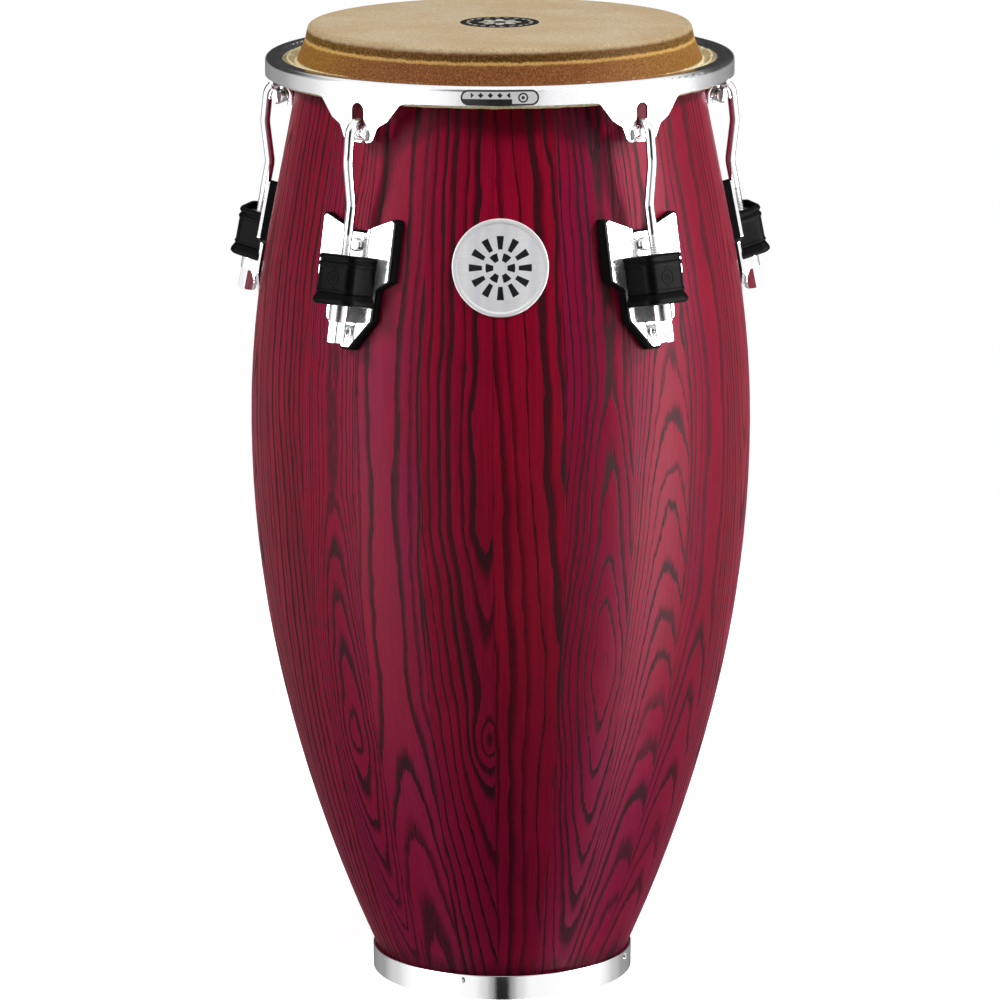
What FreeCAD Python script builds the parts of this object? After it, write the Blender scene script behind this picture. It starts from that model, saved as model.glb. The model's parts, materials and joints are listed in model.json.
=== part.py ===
import FreeCAD, Part
import math
import os
import re

import Sketcher

# A conga: a barrel of glued staves with a steel foot ring, a rawhide head wrapped on a flesh hoop, and a
# steel rim pulled down by five hook bolts.  Each bolt runs to a side plate with a rubber-sleeved strap and
# is drawn tight by a long nut below it.
# Millimetres.  +Z is up, the origin is on the drum's axis at the floor, the front is -Y.
# Azimuths are measured from the front, positive towards +X.

os.makedirs("parts", exist_ok=True)

# ---------------------------------------------------------------- driving dimensions
SIZES = {
    # shell of staves
    "stave_count": 22,
    "first_seam_azimuth": -1.8,
    "shell_thick": 13,
    "foot_radius": 101.3,
    "foot_bottom": 2,
    "foot_top": 20.4,
    "foot_arc_radius": 1149.5,
    "foot_arc_top": 240,
    "lower_arc_radius": 948.5,
    "belly_radius": 196.8,
    "belly_height": 446.9,
    "upper_arc_radius": 776.6,
    "neck_taper": 11.28,
    "bearing_taper_bottom": 741,
    "bearing_radius": 146.8,
    "bearing_top": 759.7,
    "bearing_round": 5,
    "bearing_width": 8,
    "bearing_inner_drop": 9,
    # foot ring and its screws
    "ring_inner_radius": 101.4,
    "ring_outer_radius": 103.6,
    "ring_top": 19.6,
    "ring_flange_radius": 93,
    "ring_flange_thick": 1.9,
    "ring_round": 0.8,
    "ring_screw_count": 4,
    "ring_screw_azimuth": -18.16,
    "ring_screw_height": 14.8,
    "ring_screw_head_radius": 2.7,
    "ring_screw_head_height": 1.3,
    "ring_screw_round": 0.9,
    "ring_screw_radius": 1.2,
    "ring_screw_length": 11,
    # head skin and flesh hoop
    "skin_top": 762,
    "skin_shoulder_radius": 149,
    "skin_shoulder_round": 4.5,
    "skin_ledge_radius": 151.6,
    "skin_ledge_height": 750.5,
    "skin_collar_radius": 158.8,
    "skin_collar_top": 732.7,
    "skin_collar_round": 2.5,
    "skin_gap": 0.3,
    "skin_hem_radius": 157.3,
    "skin_hem_bottom": 726,
    "skin_hem_lean": 2.8,
    "skin_wrap_overlap": 0.2,
    "hoop_radius": 172.5,
    "hoop_height": 727.5,
    "hoop_rod_radius": 4,
    "hoop_wrap_radius": 5.5,
    "head_label_radius": 30.7,
    "head_label_thick": 0.2,
    # rim
    "rim_outer_radius": 183,
    "rim_thick": 2.5,
    "rim_top": 738,
    "rim_band_bottom": 723.3,
    "rim_outer_round": 4,
    "rim_lip_radius": 168.6,
    "rim_lip_bottom": 733.1,
    "rim_lip_round": 4.85,
    "ear_bottom": 691.2,
    "ear_wall_margin": 5,
    "ear_wall_overlap": 2,
    "ear_root_reach": 8,
    "ear_root_overlap": 1,
    "ear_root_drop": 0.3,
    "ear_upper_round": 7,
    "ear_lower_round": 6,
    "prism_start": 165,
    "prism_length": 40,
    "ear_shoulder_half_width": 37.5,
    "ear_waist_half_width": 26,
    "ear_waist_height": 708.5,
    "ear_lobe_half_width": 17.5,
    "ear_lobe_height": 703.5,
    "ear_tip_half_width": 12.5,
    "slot_half_width": 5.6,
    "slot_top": 721.3,
    "knuckle_radius": 4.6,
    "knuckle_height": 696.9,
    "knuckle_half_length": 9.5,
    "rim_label_half_length": 29.5,
    "rim_label_bottom": 723.8,
    "rim_label_top": 735.8,
    "rim_label_thick": 0.5,
    # lugs: five side plates, straps, sleeves, hooks and nuts
    "lug_count": 5,
    "first_lug_azimuth": 36,
    "lug_tilt": 11.5,
    "lug_radius": 205,
    "lug_height": 578,
    "plate_front": 11.5,
    "plate_thick": 3,
    "plate_top": 59.4,
    "plate_wing_foot": 50,
    "plate_notch": 47.4,
    "plate_half_width": 32.8,
    "plate_shoulder": 12.6,
    "plate_waist": 5.5,
    "plate_waist_half_width": 21.4,
    "plate_taper_top": -18.5,
    "plate_taper_half_width": 20.6,
    "plate_tip": -40,
    "plate_tip_half_width": 3,
    "plate_round": 2.2,
    "plate_hole_gap": 0.2,
    "groove_half_width": 9.5,
    "groove_depth": 1.3,
    "groove_bottom": 26,
    "gasket_overhang": 2,
    "gasket_reach": 16.5,
    "strap_half_width": 8,
    "strap_wall": 2.4,
    "strap_bottom": -21.2,
    "strap_top": 25,
    "strap_seat_height": 6,
    "strap_weld": 1,
    "strap_rod_gap": 0.3,
    "sleeve_bottom": -9.3,
    "sleeve_top": 29.3,
    "sleeve_half_width": 16.5,
    "sleeve_base_half_width": 21.2,
    "sleeve_front": 13,
    "sleeve_round": 8,
    "sleeve_lip_height": 8.5,
    "sleeve_lip_start": 0.2,
    "sleeve_lip_flare": 2.4,
    "sleeve_bead": 0.9,
    "sleeve_bead_height": 2.6,
    "sleeve_bead_drop": 1.2,
    "sleeve_bead_pitch": 5.3,
    "sleeve_wall": 3,
    "sleeve_well_depth": 4,
    "sleeve_gap": 0.1,
    "rod_radius": 3.9,
    "rod_end_height": 542.6,
    "rod_kink_height": 644,
    "rod_kink_round": 16,
    "rod_bulge_radius": 195.4,
    "rod_bulge_height": 676,
    "rod_bulge_round": 28,
    "hook_outer_radius": 191.9,
    "hook_inner_radius": 172.45,
    "hook_crown_height": 706,
    "hook_bend_radius": 10,
    "hook_tip_height": 689,
    "nut_across_flats": 13,
    "nut_length": 16.5,
    "nut_top": -21.4,
    "nut_clearance": 0.05,
    # lug fasteners
    "lug_bolt_upper": 38,
    "lug_bolt_lower": -28.5,
    "lug_bolt_radius": 3,
    "lug_bolt_length": 33,
    "lug_bolt_head_radius": 5.6,
    "lug_bolt_head_height": 3.4,
    "lug_bolt_round": 2.2,
    "backing_washer_radius": 7.5,
    "backing_washer_thick": 1.5,
    "backing_nut_across_flats": 10,
    "backing_nut_thick": 5,
    "backing_depth_upper": 34.4,
    "backing_depth_lower": 36.7,
    # badge
    "badge_radius": 36.7,
    "badge_height": 600,
    "badge_thick": 1.4,
    "badge_punch_length": 100,
    # allowances used all over
    "cut_margin": 1,
    "round_margin": 0.1,
}

doc = FreeCAD.newDocument("conga")
sheet = doc.addObject("Spreadsheet::Sheet", "Dimensions")
for row, (alias, value) in enumerate(SIZES.items(), start=1):
    sheet.set(f"A{row}", alias.replace("_", " "))
    sheet.set(f"B{row}", str(value))
    sheet.setAlias(f"B{row}", alias)
doc.recompute()

X_AXIS = FreeCAD.Vector(1, 0, 0)
Z_AXIS = FreeCAD.Vector(0, 0, 1)
ZERO = 1e-9
SMALLEST_CUT = 1e-3
CORNER_SHARE = 0.1


# ---------------------------------------------------------------- helpers
def bind(expression):
    """Turns cell names in an expression into references to the sheet."""
    return re.sub(r"[a-z][a-z_]*", lambda m: f"Dimensions.{m[0]}" if m[0] in SIZES else m[0], str(expression))


def size(expression):
    """The present value of an expression of cell names."""
    return float(sheet.evalExpression(bind(expression)))


def turned(azimuth):
    """The placement that turns a piece made at the front round to an azimuth."""
    return FreeCAD.Placement(FreeCAD.Vector(), FreeCAD.Rotation(Z_AXIS, azimuth))


def lug_placement(azimuth):
    """A lug's own frame: x along the shell, y into it, z up the tilted rod, origin on the rod's axis."""
    tilt = FreeCAD.Rotation(X_AXIS, -size("lug_tilt"))
    seat = FreeCAD.Placement(FreeCAD.Vector(0, -size("lug_radius"), size("lug_height")), tilt)
    return turned(azimuth).multiply(seat)


def new_body(label):
    body = doc.addObject("PartDesign::Body", label)
    body.Label = label
    return body


def origin_plane(body, role):
    return next(plane for plane in body.Origin.OriginFeatures if plane.Role == role)


def new_sketch(body, name, role, offset="0"):
    """A sketch on one of a body's origin planes, moved along the plane's normal by offset."""
    sketch = body.newObject("Sketcher::SketchObject", name)
    sketch.AttachmentSupport = [(origin_plane(body, role), "")]
    sketch.MapMode = "FlatFace"
    sketch.setExpression("AttachmentOffset.Base.z", bind(offset))
    return sketch


def pin_point(sketch, line, end, across, up):
    """Ties one end of a line to its x and y expressions."""
    for kind, axis, text in (("DistanceX", -2, across), ("DistanceY", -1, up)):
        value = size(text)
        if abs(value) < ZERO:
            sketch.addConstraint(Sketcher.Constraint("PointOnObject", line, end, axis))
            continue
        number = sketch.addConstraint(Sketcher.Constraint(kind, -1, 1, line, end, value))
        sketch.setExpression(f"Constraints[{number}]", bind(text))


def round_corner(sketch, before, after, corner, neighbours, radius):
    """Rounds the corner between two lines with an arc tied to a radius expression."""
    first_new = sketch.GeometryCount
    hints = [corner + (other - corner) * CORNER_SHARE for other in neighbours]
    sketch.fillet(before, after, hints[0], hints[1], size(radius), True, True)
    for index in range(first_new, sketch.GeometryCount):
        if sketch.Geometry[index].TypeId == "Part::GeomArcOfCircle":
            number = sketch.addConstraint(Sketcher.Constraint("Radius", index, size(radius)))
            sketch.setExpression(f"Constraints[{number}]", bind(radius))


def draw_outline(sketch, corners, closed=True):
    """Straight lines through the corners (x, y, rounding or None), each given as expressions."""
    first = sketch.GeometryCount
    count = len(corners)
    points = [FreeCAD.Vector(size(across), size(up), 0) for across, up, _ in corners]
    line_count = count if closed else count - 1
    lines = [Part.LineSegment(points[i], points[(i + 1) % count]) for i in range(line_count)]
    sketch.addGeometry(lines)
    for i in range(line_count - (0 if closed else 1)):
        sketch.addConstraint(Sketcher.Constraint("Coincident", first + i, 2, first + (i + 1) % count, 1))
    for i, (across, up, _) in enumerate(corners):
        if i < line_count:
            pin_point(sketch, first + i, 1, across, up)
        else:
            pin_point(sketch, first + i - 1, 2, across, up)
    for i, (_, _, radius) in enumerate(corners):
        if radius is not None:
            before = (i - 1) % count
            neighbours = (points[before], points[(i + 1) % count])
            round_corner(sketch, first + before, first + i, points[i], neighbours, radius)


def mirrored(half):
    """A closed outline that is symmetric about the vertical axis, from its right half, top to bottom."""
    left = [(f"-({across})", up, radius) for across, up, radius in reversed(half) if size(across) > ZERO]
    return half + left


def draw_circle(sketch, across, up, radius):
    centre = FreeCAD.Vector(size(across), size(up), 0)
    circle = sketch.addGeometry(Part.Circle(centre, Z_AXIS, size(radius)))
    number = sketch.addConstraint(Sketcher.Constraint("Radius", circle, size(radius)))
    sketch.setExpression(f"Constraints[{number}]", bind(radius))
    pin_point(sketch, circle, 3, across, up)


def draw_hexagon(sketch, across_flats):
    """A hexagon round the origin, with two of its flats facing +x and -x."""
    flat = f"{across_flats} / 2"
    side = f"{across_flats} / 2 / sqrt(3)"
    tip = f"{across_flats} / sqrt(3)"
    draw_outline(sketch, mirrored([
        ("0", tip, None),
        (flat, side, None),
        (flat, f"-{side}", None),
        ("0", f"-{tip}", None),
    ]))


def add_pad(body, sketch, length, name):
    pad = body.newObject("PartDesign::Pad", name)
    pad.Profile = sketch
    pad.setExpression("Length", bind(length))
    sketch.Visibility = False
    return pad


def add_pocket(body, sketch, depth, name, away_from_normal=True):
    """Cuts a sketch into a body, and stops if nothing was cut."""
    doc.recompute()
    volume = body.Shape.Volume
    pocket = body.newObject("PartDesign::Pocket", name)
    pocket.Profile = sketch
    pocket.setExpression("Length", bind(depth))
    pocket.Reversed = not away_from_normal
    doc.recompute()
    if body.Shape.Volume > volume - SMALLEST_CUT:
        raise RuntimeError(f"{name} cuts nothing")
    return pocket


def add_revolution(body, sketch, name, angle="360"):
    """Turns a sketch on the body's XZ plane about the body's Z axis."""
    turn = body.newObject("PartDesign::Revolution", name)
    turn.Profile = sketch
    turn.ReferenceAxis = (sketch, ["V_Axis"])
    turn.setExpression("Angle", bind(angle))
    return turn


def cut(base, tool, label):
    piece = doc.addObject("Part::Cut", label)
    piece.Base = base
    piece.Tool = tool
    piece.Label = label
    return piece


def group(members, label):
    """Several identical fasteners as one compound."""
    compound = doc.addObject("Part::Compound", label)
    compound.Links = members
    compound.Label = label
    return compound


def spread(first_azimuth, count):
    """Azimuths spaced evenly round the drum."""
    return [size(first_azimuth) + number * 360 / size(count) for number in range(int(size(count)))]


LUG_AZIMUTHS = spread("first_lug_azimuth", "lug_count")
SCREW_AZIMUTHS = spread("ring_screw_azimuth", "ring_screw_count")
finished = {}


def finish(node, piece):
    finished[node] = piece
    return piece


# ---------------------------------------------------------------- the barrel's curve
class ShellCurve:
    """The shell's outer line, offset outwards: two lower arcs, an upper arc and a neck, all tangent."""

    def __init__(self, offset):
        self.offset = offset
        self.taper = math.radians(size("neck_taper"))
        belly, height = size("belly_radius"), size("belly_height")
        self.lower_centre = FreeCAD.Vector(belly - size("lower_arc_radius"), height, 0)
        self.upper_centre = FreeCAD.Vector(belly - size("upper_arc_radius"), height, 0)
        rise = size("foot_arc_top") - height
        run = math.sqrt(size("lower_arc_radius") ** 2 - rise**2)
        shift = 1 - size("foot_arc_radius") / size("lower_arc_radius")
        self.foot_centre = self.lower_centre + FreeCAD.Vector(run, rise, 0) * shift
        self.foot_angle = math.atan2(rise, run)

    def foot_arc_end(self, height):
        """Where the foot arc meets a height, as an angle about its centre."""
        return math.asin((height - self.foot_centre.y) / (size("foot_arc_radius") + self.offset))

    def arcs(self, start_height):
        """Centre, radius and angles of the three arcs, from the bottom up."""
        foot_start = self.foot_arc_end(start_height)
        return [
            (self.foot_centre, size("foot_arc_radius") + self.offset, foot_start, self.foot_angle),
            (self.lower_centre, size("lower_arc_radius") + self.offset, self.foot_angle, 0),
            (self.upper_centre, size("upper_arc_radius") + self.offset, 0, self.taper),
        ]

    def neck_radius(self, height):
        """The radius of the straight neck at a height."""
        reach = size("upper_arc_radius") + self.offset
        tangent = self.upper_centre + FreeCAD.Vector(math.cos(self.taper), math.sin(self.taper), 0) * reach
        return tangent.x - (height - tangent.y) * math.tan(self.taper)


def draw_curve(sketch, curve, start_height, radius_text):
    """Adds the three arcs of a shell curve, tangent to each other, and returns their numbers."""
    numbers = []
    names = ("foot_arc_radius", "lower_arc_radius", "upper_arc_radius")
    for name, (centre, radius, low, high) in zip(names, curve.arcs(start_height)):
        arc = sketch.addGeometry(Part.ArcOfCircle(Part.Circle(centre, Z_AXIS, radius), low, high))
        number = sketch.addConstraint(Sketcher.Constraint("Radius", arc, radius))
        sketch.setExpression(f"Constraints[{number}]", bind(f"{name} {radius_text}"))
        if numbers:
            sketch.addConstraint(Sketcher.Constraint("Coincident", numbers[-1], 2, arc, 1))
        numbers.append(arc)
    return numbers


def chain(sketch, start, points, end):
    """Straight lines from one arc end, through points, to another arc end."""
    corners = [point_of(sketch, start)] + points + [point_of(sketch, end)]
    lines = [sketch.addGeometry(Part.LineSegment(a, b)) for a, b in zip(corners, corners[1:])]
    sketch.addConstraint(Sketcher.Constraint("Coincident", start[0], start[1], lines[0], 1))
    for one, two in zip(lines, lines[1:]):
        sketch.addConstraint(Sketcher.Constraint("Coincident", one, 2, two, 1))
    sketch.addConstraint(Sketcher.Constraint("Coincident", lines[-1], 2, end[0], end[1]))
    return lines


def point_of(sketch, place):
    return sketch.getPoint(place[0], place[1])


outer_curve = ShellCurve(0)
inner_curve = ShellCurve(-size("shell_thick"))


def stave_profile(body):
    """A stave's section: straight foot, three arcs, neck and tapered bearing edge, and the same inside."""
    sketch = new_sketch(body, f"{body.Name}_profile", "XZ_Plane")
    outer = draw_curve(sketch, outer_curve, size("foot_top"), "* 1")
    inner = draw_curve(sketch, inner_curve, size("foot_top"), "- shell_thick")
    taper_bottom = size("bearing_taper_bottom")
    top, bearing = size("bearing_top"), size("bearing_radius")
    inner_top = bearing - size("bearing_width")
    inner_drop = top - size("bearing_inner_drop")
    crown = [
        FreeCAD.Vector(outer_curve.neck_radius(taper_bottom), taper_bottom, 0),
        FreeCAD.Vector(bearing, top, 0),
        FreeCAD.Vector(inner_top, top, 0),
        FreeCAD.Vector(inner_curve.neck_radius(inner_drop), inner_drop, 0),
    ]
    lines = chain(sketch, (outer[-1], 2), crown, (inner[-1], 2))
    round_corner(sketch, lines[1], lines[2], crown[1], (crown[0], crown[2]), "bearing_round")
    foot_inner = point_of(sketch, (inner[0], 1))
    foot = [
        FreeCAD.Vector(foot_inner.x, size("foot_bottom"), 0),
        FreeCAD.Vector(size("foot_radius"), size("foot_bottom"), 0),
    ]
    chain(sketch, (inner[0], 1), foot, (outer[0], 1))
    return sketch


# ---------------------------------------------------------------- holes drilled through the shell
def bolt_seats():
    """Every lug bolt's azimuth, height up the lug and depth of its washer inside the shell."""
    for azimuth in LUG_AZIMUTHS:
        yield azimuth, size("lug_bolt_upper"), size("backing_depth_upper")
        yield azimuth, size("lug_bolt_lower"), size("backing_depth_lower")


def into_shell(azimuth, up, depth):
    """A frame on a lug bolt's axis with its z pointing out of the shell."""
    outward = FreeCAD.Rotation(X_AXIS, 90)
    return lug_placement(azimuth).multiply(FreeCAD.Placement(FreeCAD.Vector(0, depth, up), outward))


def ring_screw_seat(azimuth):
    """A frame on a ring screw's axis, on the ring's outer face, with its z pointing outwards."""
    outward = FreeCAD.Rotation(X_AXIS, 90)
    place = FreeCAD.Vector(0, -size("ring_outer_radius"), size("ring_screw_height"))
    return turned(azimuth).multiply(FreeCAD.Placement(place, outward))


def drill(name, radius, length, placement):
    """A cylinder that runs inwards from the placement, as long as length."""
    hole = doc.addObject("Part::Cylinder", name)
    hole.setExpression("Radius", bind(radius))
    hole.setExpression("Height", bind(length))
    inwards = FreeCAD.Placement(FreeCAD.Vector(0, 0, -size(length)), FreeCAD.Rotation())
    hole.Placement = placement.multiply(inwards)
    return hole


bolt_holes = [
    drill(f"bolt_hole_{number}", "lug_bolt_radius", "lug_bolt_length",
          into_shell(azimuth, up, size("plate_front")))
    for number, (azimuth, up, _) in enumerate(bolt_seats(), start=1)
]
screw_holes = [
    drill(f"screw_hole_{number}", "ring_screw_radius", "ring_screw_length", ring_screw_seat(azimuth))
    for number, azimuth in enumerate(SCREW_AZIMUTHS, start=1)
]
drilling = group(bolt_holes + screw_holes, "drilling")

# ---------------------------------------------------------------- staves and foot ring
stave_angle = 360 / size("stave_count")
for number in range(int(size("stave_count"))):
    stave = new_body(f"stave_blank_{number + 1:02d}")
    add_revolution(stave, stave_profile(stave), f"{stave.Name}_turn", "360 / stave_count")
    stave.Placement = turned(size("first_seam_azimuth") + 90 + number * stave_angle)
    finish(f"stave_{number + 1:02d}", cut(stave, drilling, f"stave_{number + 1:02d}"))

ring_blank = new_body("ring_blank")
ring_section = new_sketch(ring_blank, "ring_section", "XZ_Plane")
draw_outline(ring_section, [
    ("ring_flange_radius", "0", None),
    ("ring_outer_radius", "0", "ring_round"),
    ("ring_outer_radius", "ring_top", "ring_round"),
    ("ring_inner_radius", "ring_top", None),
    ("ring_inner_radius", "ring_flange_thick", None),
    ("ring_flange_radius", "ring_flange_thick", None),
])
add_revolution(ring_blank, ring_section, "ring_turn")
finish("base_ring", cut(ring_blank, drilling, "base_ring"))


def turned_fasteners(name, outline, placements):
    """A fastener's section turned about its own axis, once for each placement."""
    section = doc.addObject("Sketcher::SketchObject", f"{name}_section")
    section.Placement = FreeCAD.Placement(FreeCAD.Vector(), FreeCAD.Rotation(X_AXIS, 90))
    draw_outline(section, outline)
    copies = []
    for number, placement in enumerate(placements, start=1):
        copy = doc.addObject("Part::Revolution", f"{name}_{number}")
        copy.Source = section
        copy.Axis = Z_AXIS
        copy.Angle = 360
        copy.Solid = True
        copy.Placement = placement
        copies.append(copy)
    return group(copies, name)


finish("base_ring_screws", turned_fasteners("base_ring_screws", [
    ("0", "-ring_screw_length", None),
    ("ring_screw_radius", "-ring_screw_length", None),
    ("ring_screw_radius", "0", None),
    ("ring_screw_head_radius", "0", None),
    ("ring_screw_head_radius", "ring_screw_head_height", "ring_screw_round"),
    ("0", "ring_screw_head_height", None),
], [ring_screw_seat(azimuth) for azimuth in SCREW_AZIMUTHS]))

# ---------------------------------------------------------------- head
skin_sheet = new_body("skin_sheet")
skin_section = new_sketch(skin_sheet, "skin_section", "XZ_Plane")
draw_outline(skin_section, [
    ("0", "skin_top", None),
    ("skin_shoulder_radius", "skin_top", "skin_shoulder_round"),
    ("skin_ledge_radius", "skin_ledge_height", None),
    ("skin_collar_radius", "skin_collar_top", "skin_collar_round"),
    ("hoop_radius", "skin_collar_top - skin_wrap_overlap", None),
    ("hoop_radius", "hoop_height - hoop_wrap_radius + skin_wrap_overlap", None),
    ("skin_hem_radius", "skin_hem_bottom", None),
    ("skin_hem_radius - skin_hem_lean", "bearing_taper_bottom", None),
    ("bearing_radius + skin_gap", "bearing_top + skin_gap", "bearing_round + skin_gap"),
    ("0", "bearing_top + skin_gap", None),
])
add_revolution(skin_sheet, skin_section, "skin_turn")


def torus(name, ring_radius, rod_radius, height):
    hoop = doc.addObject("Part::Torus", name)
    hoop.setExpression("Radius1", bind(ring_radius))
    hoop.setExpression("Radius2", bind(rod_radius))
    hoop.setExpression("Placement.Base.z", bind(height))
    return hoop


skin_wrap = torus("skin_wrap", "hoop_radius", "hoop_wrap_radius", "hoop_height")
hoop_space = torus("hoop_space", "hoop_radius", "hoop_rod_radius", "hoop_height")
wrapped_skin = doc.addObject("Part::Fuse", "wrapped_skin")
wrapped_skin.Base = skin_sheet
wrapped_skin.Tool = skin_wrap
finish("head_skin", cut(wrapped_skin, hoop_space, "head_skin"))
finish("flesh_hoop", torus("flesh_hoop", "hoop_radius", "hoop_rod_radius", "hoop_height"))

head_label = new_body("head_label")
label_disc = new_sketch(head_label, "label_disc", "XY_Plane", "skin_top")
draw_circle(label_disc, "0", "0", "head_label_radius")
add_pad(head_label, label_disc, "head_label_thick", "label_pad")
finish("head_label", head_label)

# ---------------------------------------------------------------- rim
rim_hoop = new_body("rim_hoop")
rim_section = new_sketch(rim_hoop, "rim_section", "XZ_Plane")
draw_outline(rim_section, [
    ("rim_outer_radius", "rim_band_bottom", None),
    ("rim_outer_radius", "rim_top", "rim_outer_round"),
    ("rim_lip_radius", "rim_top", "rim_lip_round"),
    ("rim_lip_radius", "rim_lip_bottom", None),
    ("rim_lip_radius + rim_thick", "rim_lip_bottom", None),
    ("rim_lip_radius + rim_thick", "rim_top - rim_thick", "rim_lip_round - rim_thick"),
    ("rim_outer_radius - rim_thick", "rim_top - rim_thick", "rim_outer_round - rim_thick"),
    ("rim_outer_radius - rim_thick", "rim_band_bottom", None),
])
add_revolution(rim_hoop, rim_section, "rim_turn")

ear_wall = new_body("ear_wall")
ear_wall_section = new_sketch(ear_wall, "ear_wall_section", "XZ_Plane")
draw_outline(ear_wall_section, [
    ("rim_outer_radius - rim_thick", "ear_bottom - ear_wall_margin", None),
    ("rim_outer_radius", "ear_bottom - ear_wall_margin", None),
    ("rim_outer_radius", "rim_band_bottom + ear_wall_overlap", None),
    ("rim_outer_radius - rim_thick", "rim_band_bottom + ear_wall_overlap", None),
])
add_revolution(ear_wall, ear_wall_section, "ear_wall_turn")


def ear_prism(number, azimuth):
    """The ear's bracket outline, with its slot, run out through the rim's wall."""
    body = new_body(f"ear_prism_{number}")
    outline = new_sketch(body, f"ear_outline_{number}", "XZ_Plane", "prism_start")
    draw_outline(outline, mirrored([
        ("ear_shoulder_half_width + ear_root_reach", "rim_band_bottom + ear_root_overlap", None),
        ("ear_shoulder_half_width + ear_root_reach", "rim_band_bottom", None),
        ("ear_shoulder_half_width", "rim_band_bottom - ear_root_drop", "ear_upper_round"),
        ("ear_waist_half_width", "ear_waist_height", "ear_upper_round"),
        ("ear_lobe_half_width", "ear_lobe_height", "ear_lower_round"),
        ("ear_tip_half_width", "ear_bottom", "ear_lower_round"),
    ]))
    add_pad(body, outline, "prism_length", f"ear_pad_{number}")
    slot = new_sketch(body, f"ear_slot_{number}", "XZ_Plane", "prism_start")
    draw_outline(slot, mirrored([
        ("slot_half_width", "slot_top", "slot_half_width - round_margin"),
        ("slot_half_width", "knuckle_height", None),
    ]))
    add_pocket(body, slot, "prism_length", f"ear_slot_cut_{number}", away_from_normal=False)
    body.Placement = turned(azimuth)
    return body


def knuckle(number, azimuth):
    """The rolled bar across the foot of an ear's slot, which the hook pulls on."""
    body = new_body(f"knuckle_{number}")
    outline = new_sketch(body, f"knuckle_outline_{number}", "YZ_Plane", "-knuckle_half_length")
    draw_circle(outline, "rim_thick / 2 - rim_outer_radius", "knuckle_height", "knuckle_radius")
    add_pad(body, outline, "2 * knuckle_half_length", f"knuckle_pad_{number}")
    body.Placement = turned(azimuth)
    return body


ear_prisms = [ear_prism(number, azimuth) for number, azimuth in enumerate(LUG_AZIMUTHS, start=1)]
knuckles = [knuckle(number, azimuth) for number, azimuth in enumerate(LUG_AZIMUTHS, start=1)]
ears = doc.addObject("Part::Common", "ears")
ears.Base = ear_wall
ears.Tool = group(ear_prisms, "ear_prisms")
rim = doc.addObject("Part::MultiFuse", "rim")
rim.Shapes = [rim_hoop, ears] + knuckles
finish("rim", rim)

label_wall = new_body("label_wall")
label_wall_section = new_sketch(label_wall, "label_wall_section", "XZ_Plane")
draw_outline(label_wall_section, [
    ("rim_outer_radius", "rim_band_bottom", None),
    ("rim_outer_radius + rim_label_thick", "rim_band_bottom", None),
    ("rim_outer_radius + rim_label_thick", "rim_top", None),
    ("rim_outer_radius", "rim_top", None),
])
add_revolution(label_wall, label_wall_section, "label_wall_turn")
label_prism = new_body("label_prism")
label_outline = new_sketch(label_prism, "label_outline", "XZ_Plane", "prism_start")
draw_outline(label_outline, mirrored([
    ("rim_label_half_length", "rim_label_top", "(rim_label_top - rim_label_bottom) / 2 - round_margin"),
    ("rim_label_half_length", "rim_label_bottom", "(rim_label_top - rim_label_bottom) / 2 - round_margin"),
]))
add_pad(label_prism, label_outline, "prism_length", "label_prism_pad")
rim_label = doc.addObject("Part::Common", "rim_label")
rim_label.Base = label_wall
rim_label.Tool = label_prism
finish("rim_label", rim_label)


# ---------------------------------------------------------------- lugs
PLATE_HALF = [
    ("0", "plate_notch", None),
    ("groove_half_width", "plate_notch", None),
    ("groove_half_width", "plate_wing_foot", None),
    ("plate_half_width", "plate_top", "plate_round"),
    ("plate_half_width", "plate_shoulder", "plate_round"),
    ("plate_waist_half_width", "plate_waist", "plate_round"),
    ("plate_taper_half_width", "plate_taper_top", "plate_round"),
    ("plate_tip_half_width", "plate_tip", "plate_round"),
]


def grown(half, overhang):
    """A half outline moved out sideways and at its top and bottom by an overhang."""
    result = []
    for across, up, radius in half:
        outwards = across if size(across) < ZERO else f"{across} + {overhang}"
        if up in ("plate_top", "plate_wing_foot", "plate_notch"):
            up = f"{up} + {overhang}"
        elif up == "plate_tip":
            up = f"{up} - {overhang}"
        result.append((outwards, up, radius))
    return result


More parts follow.
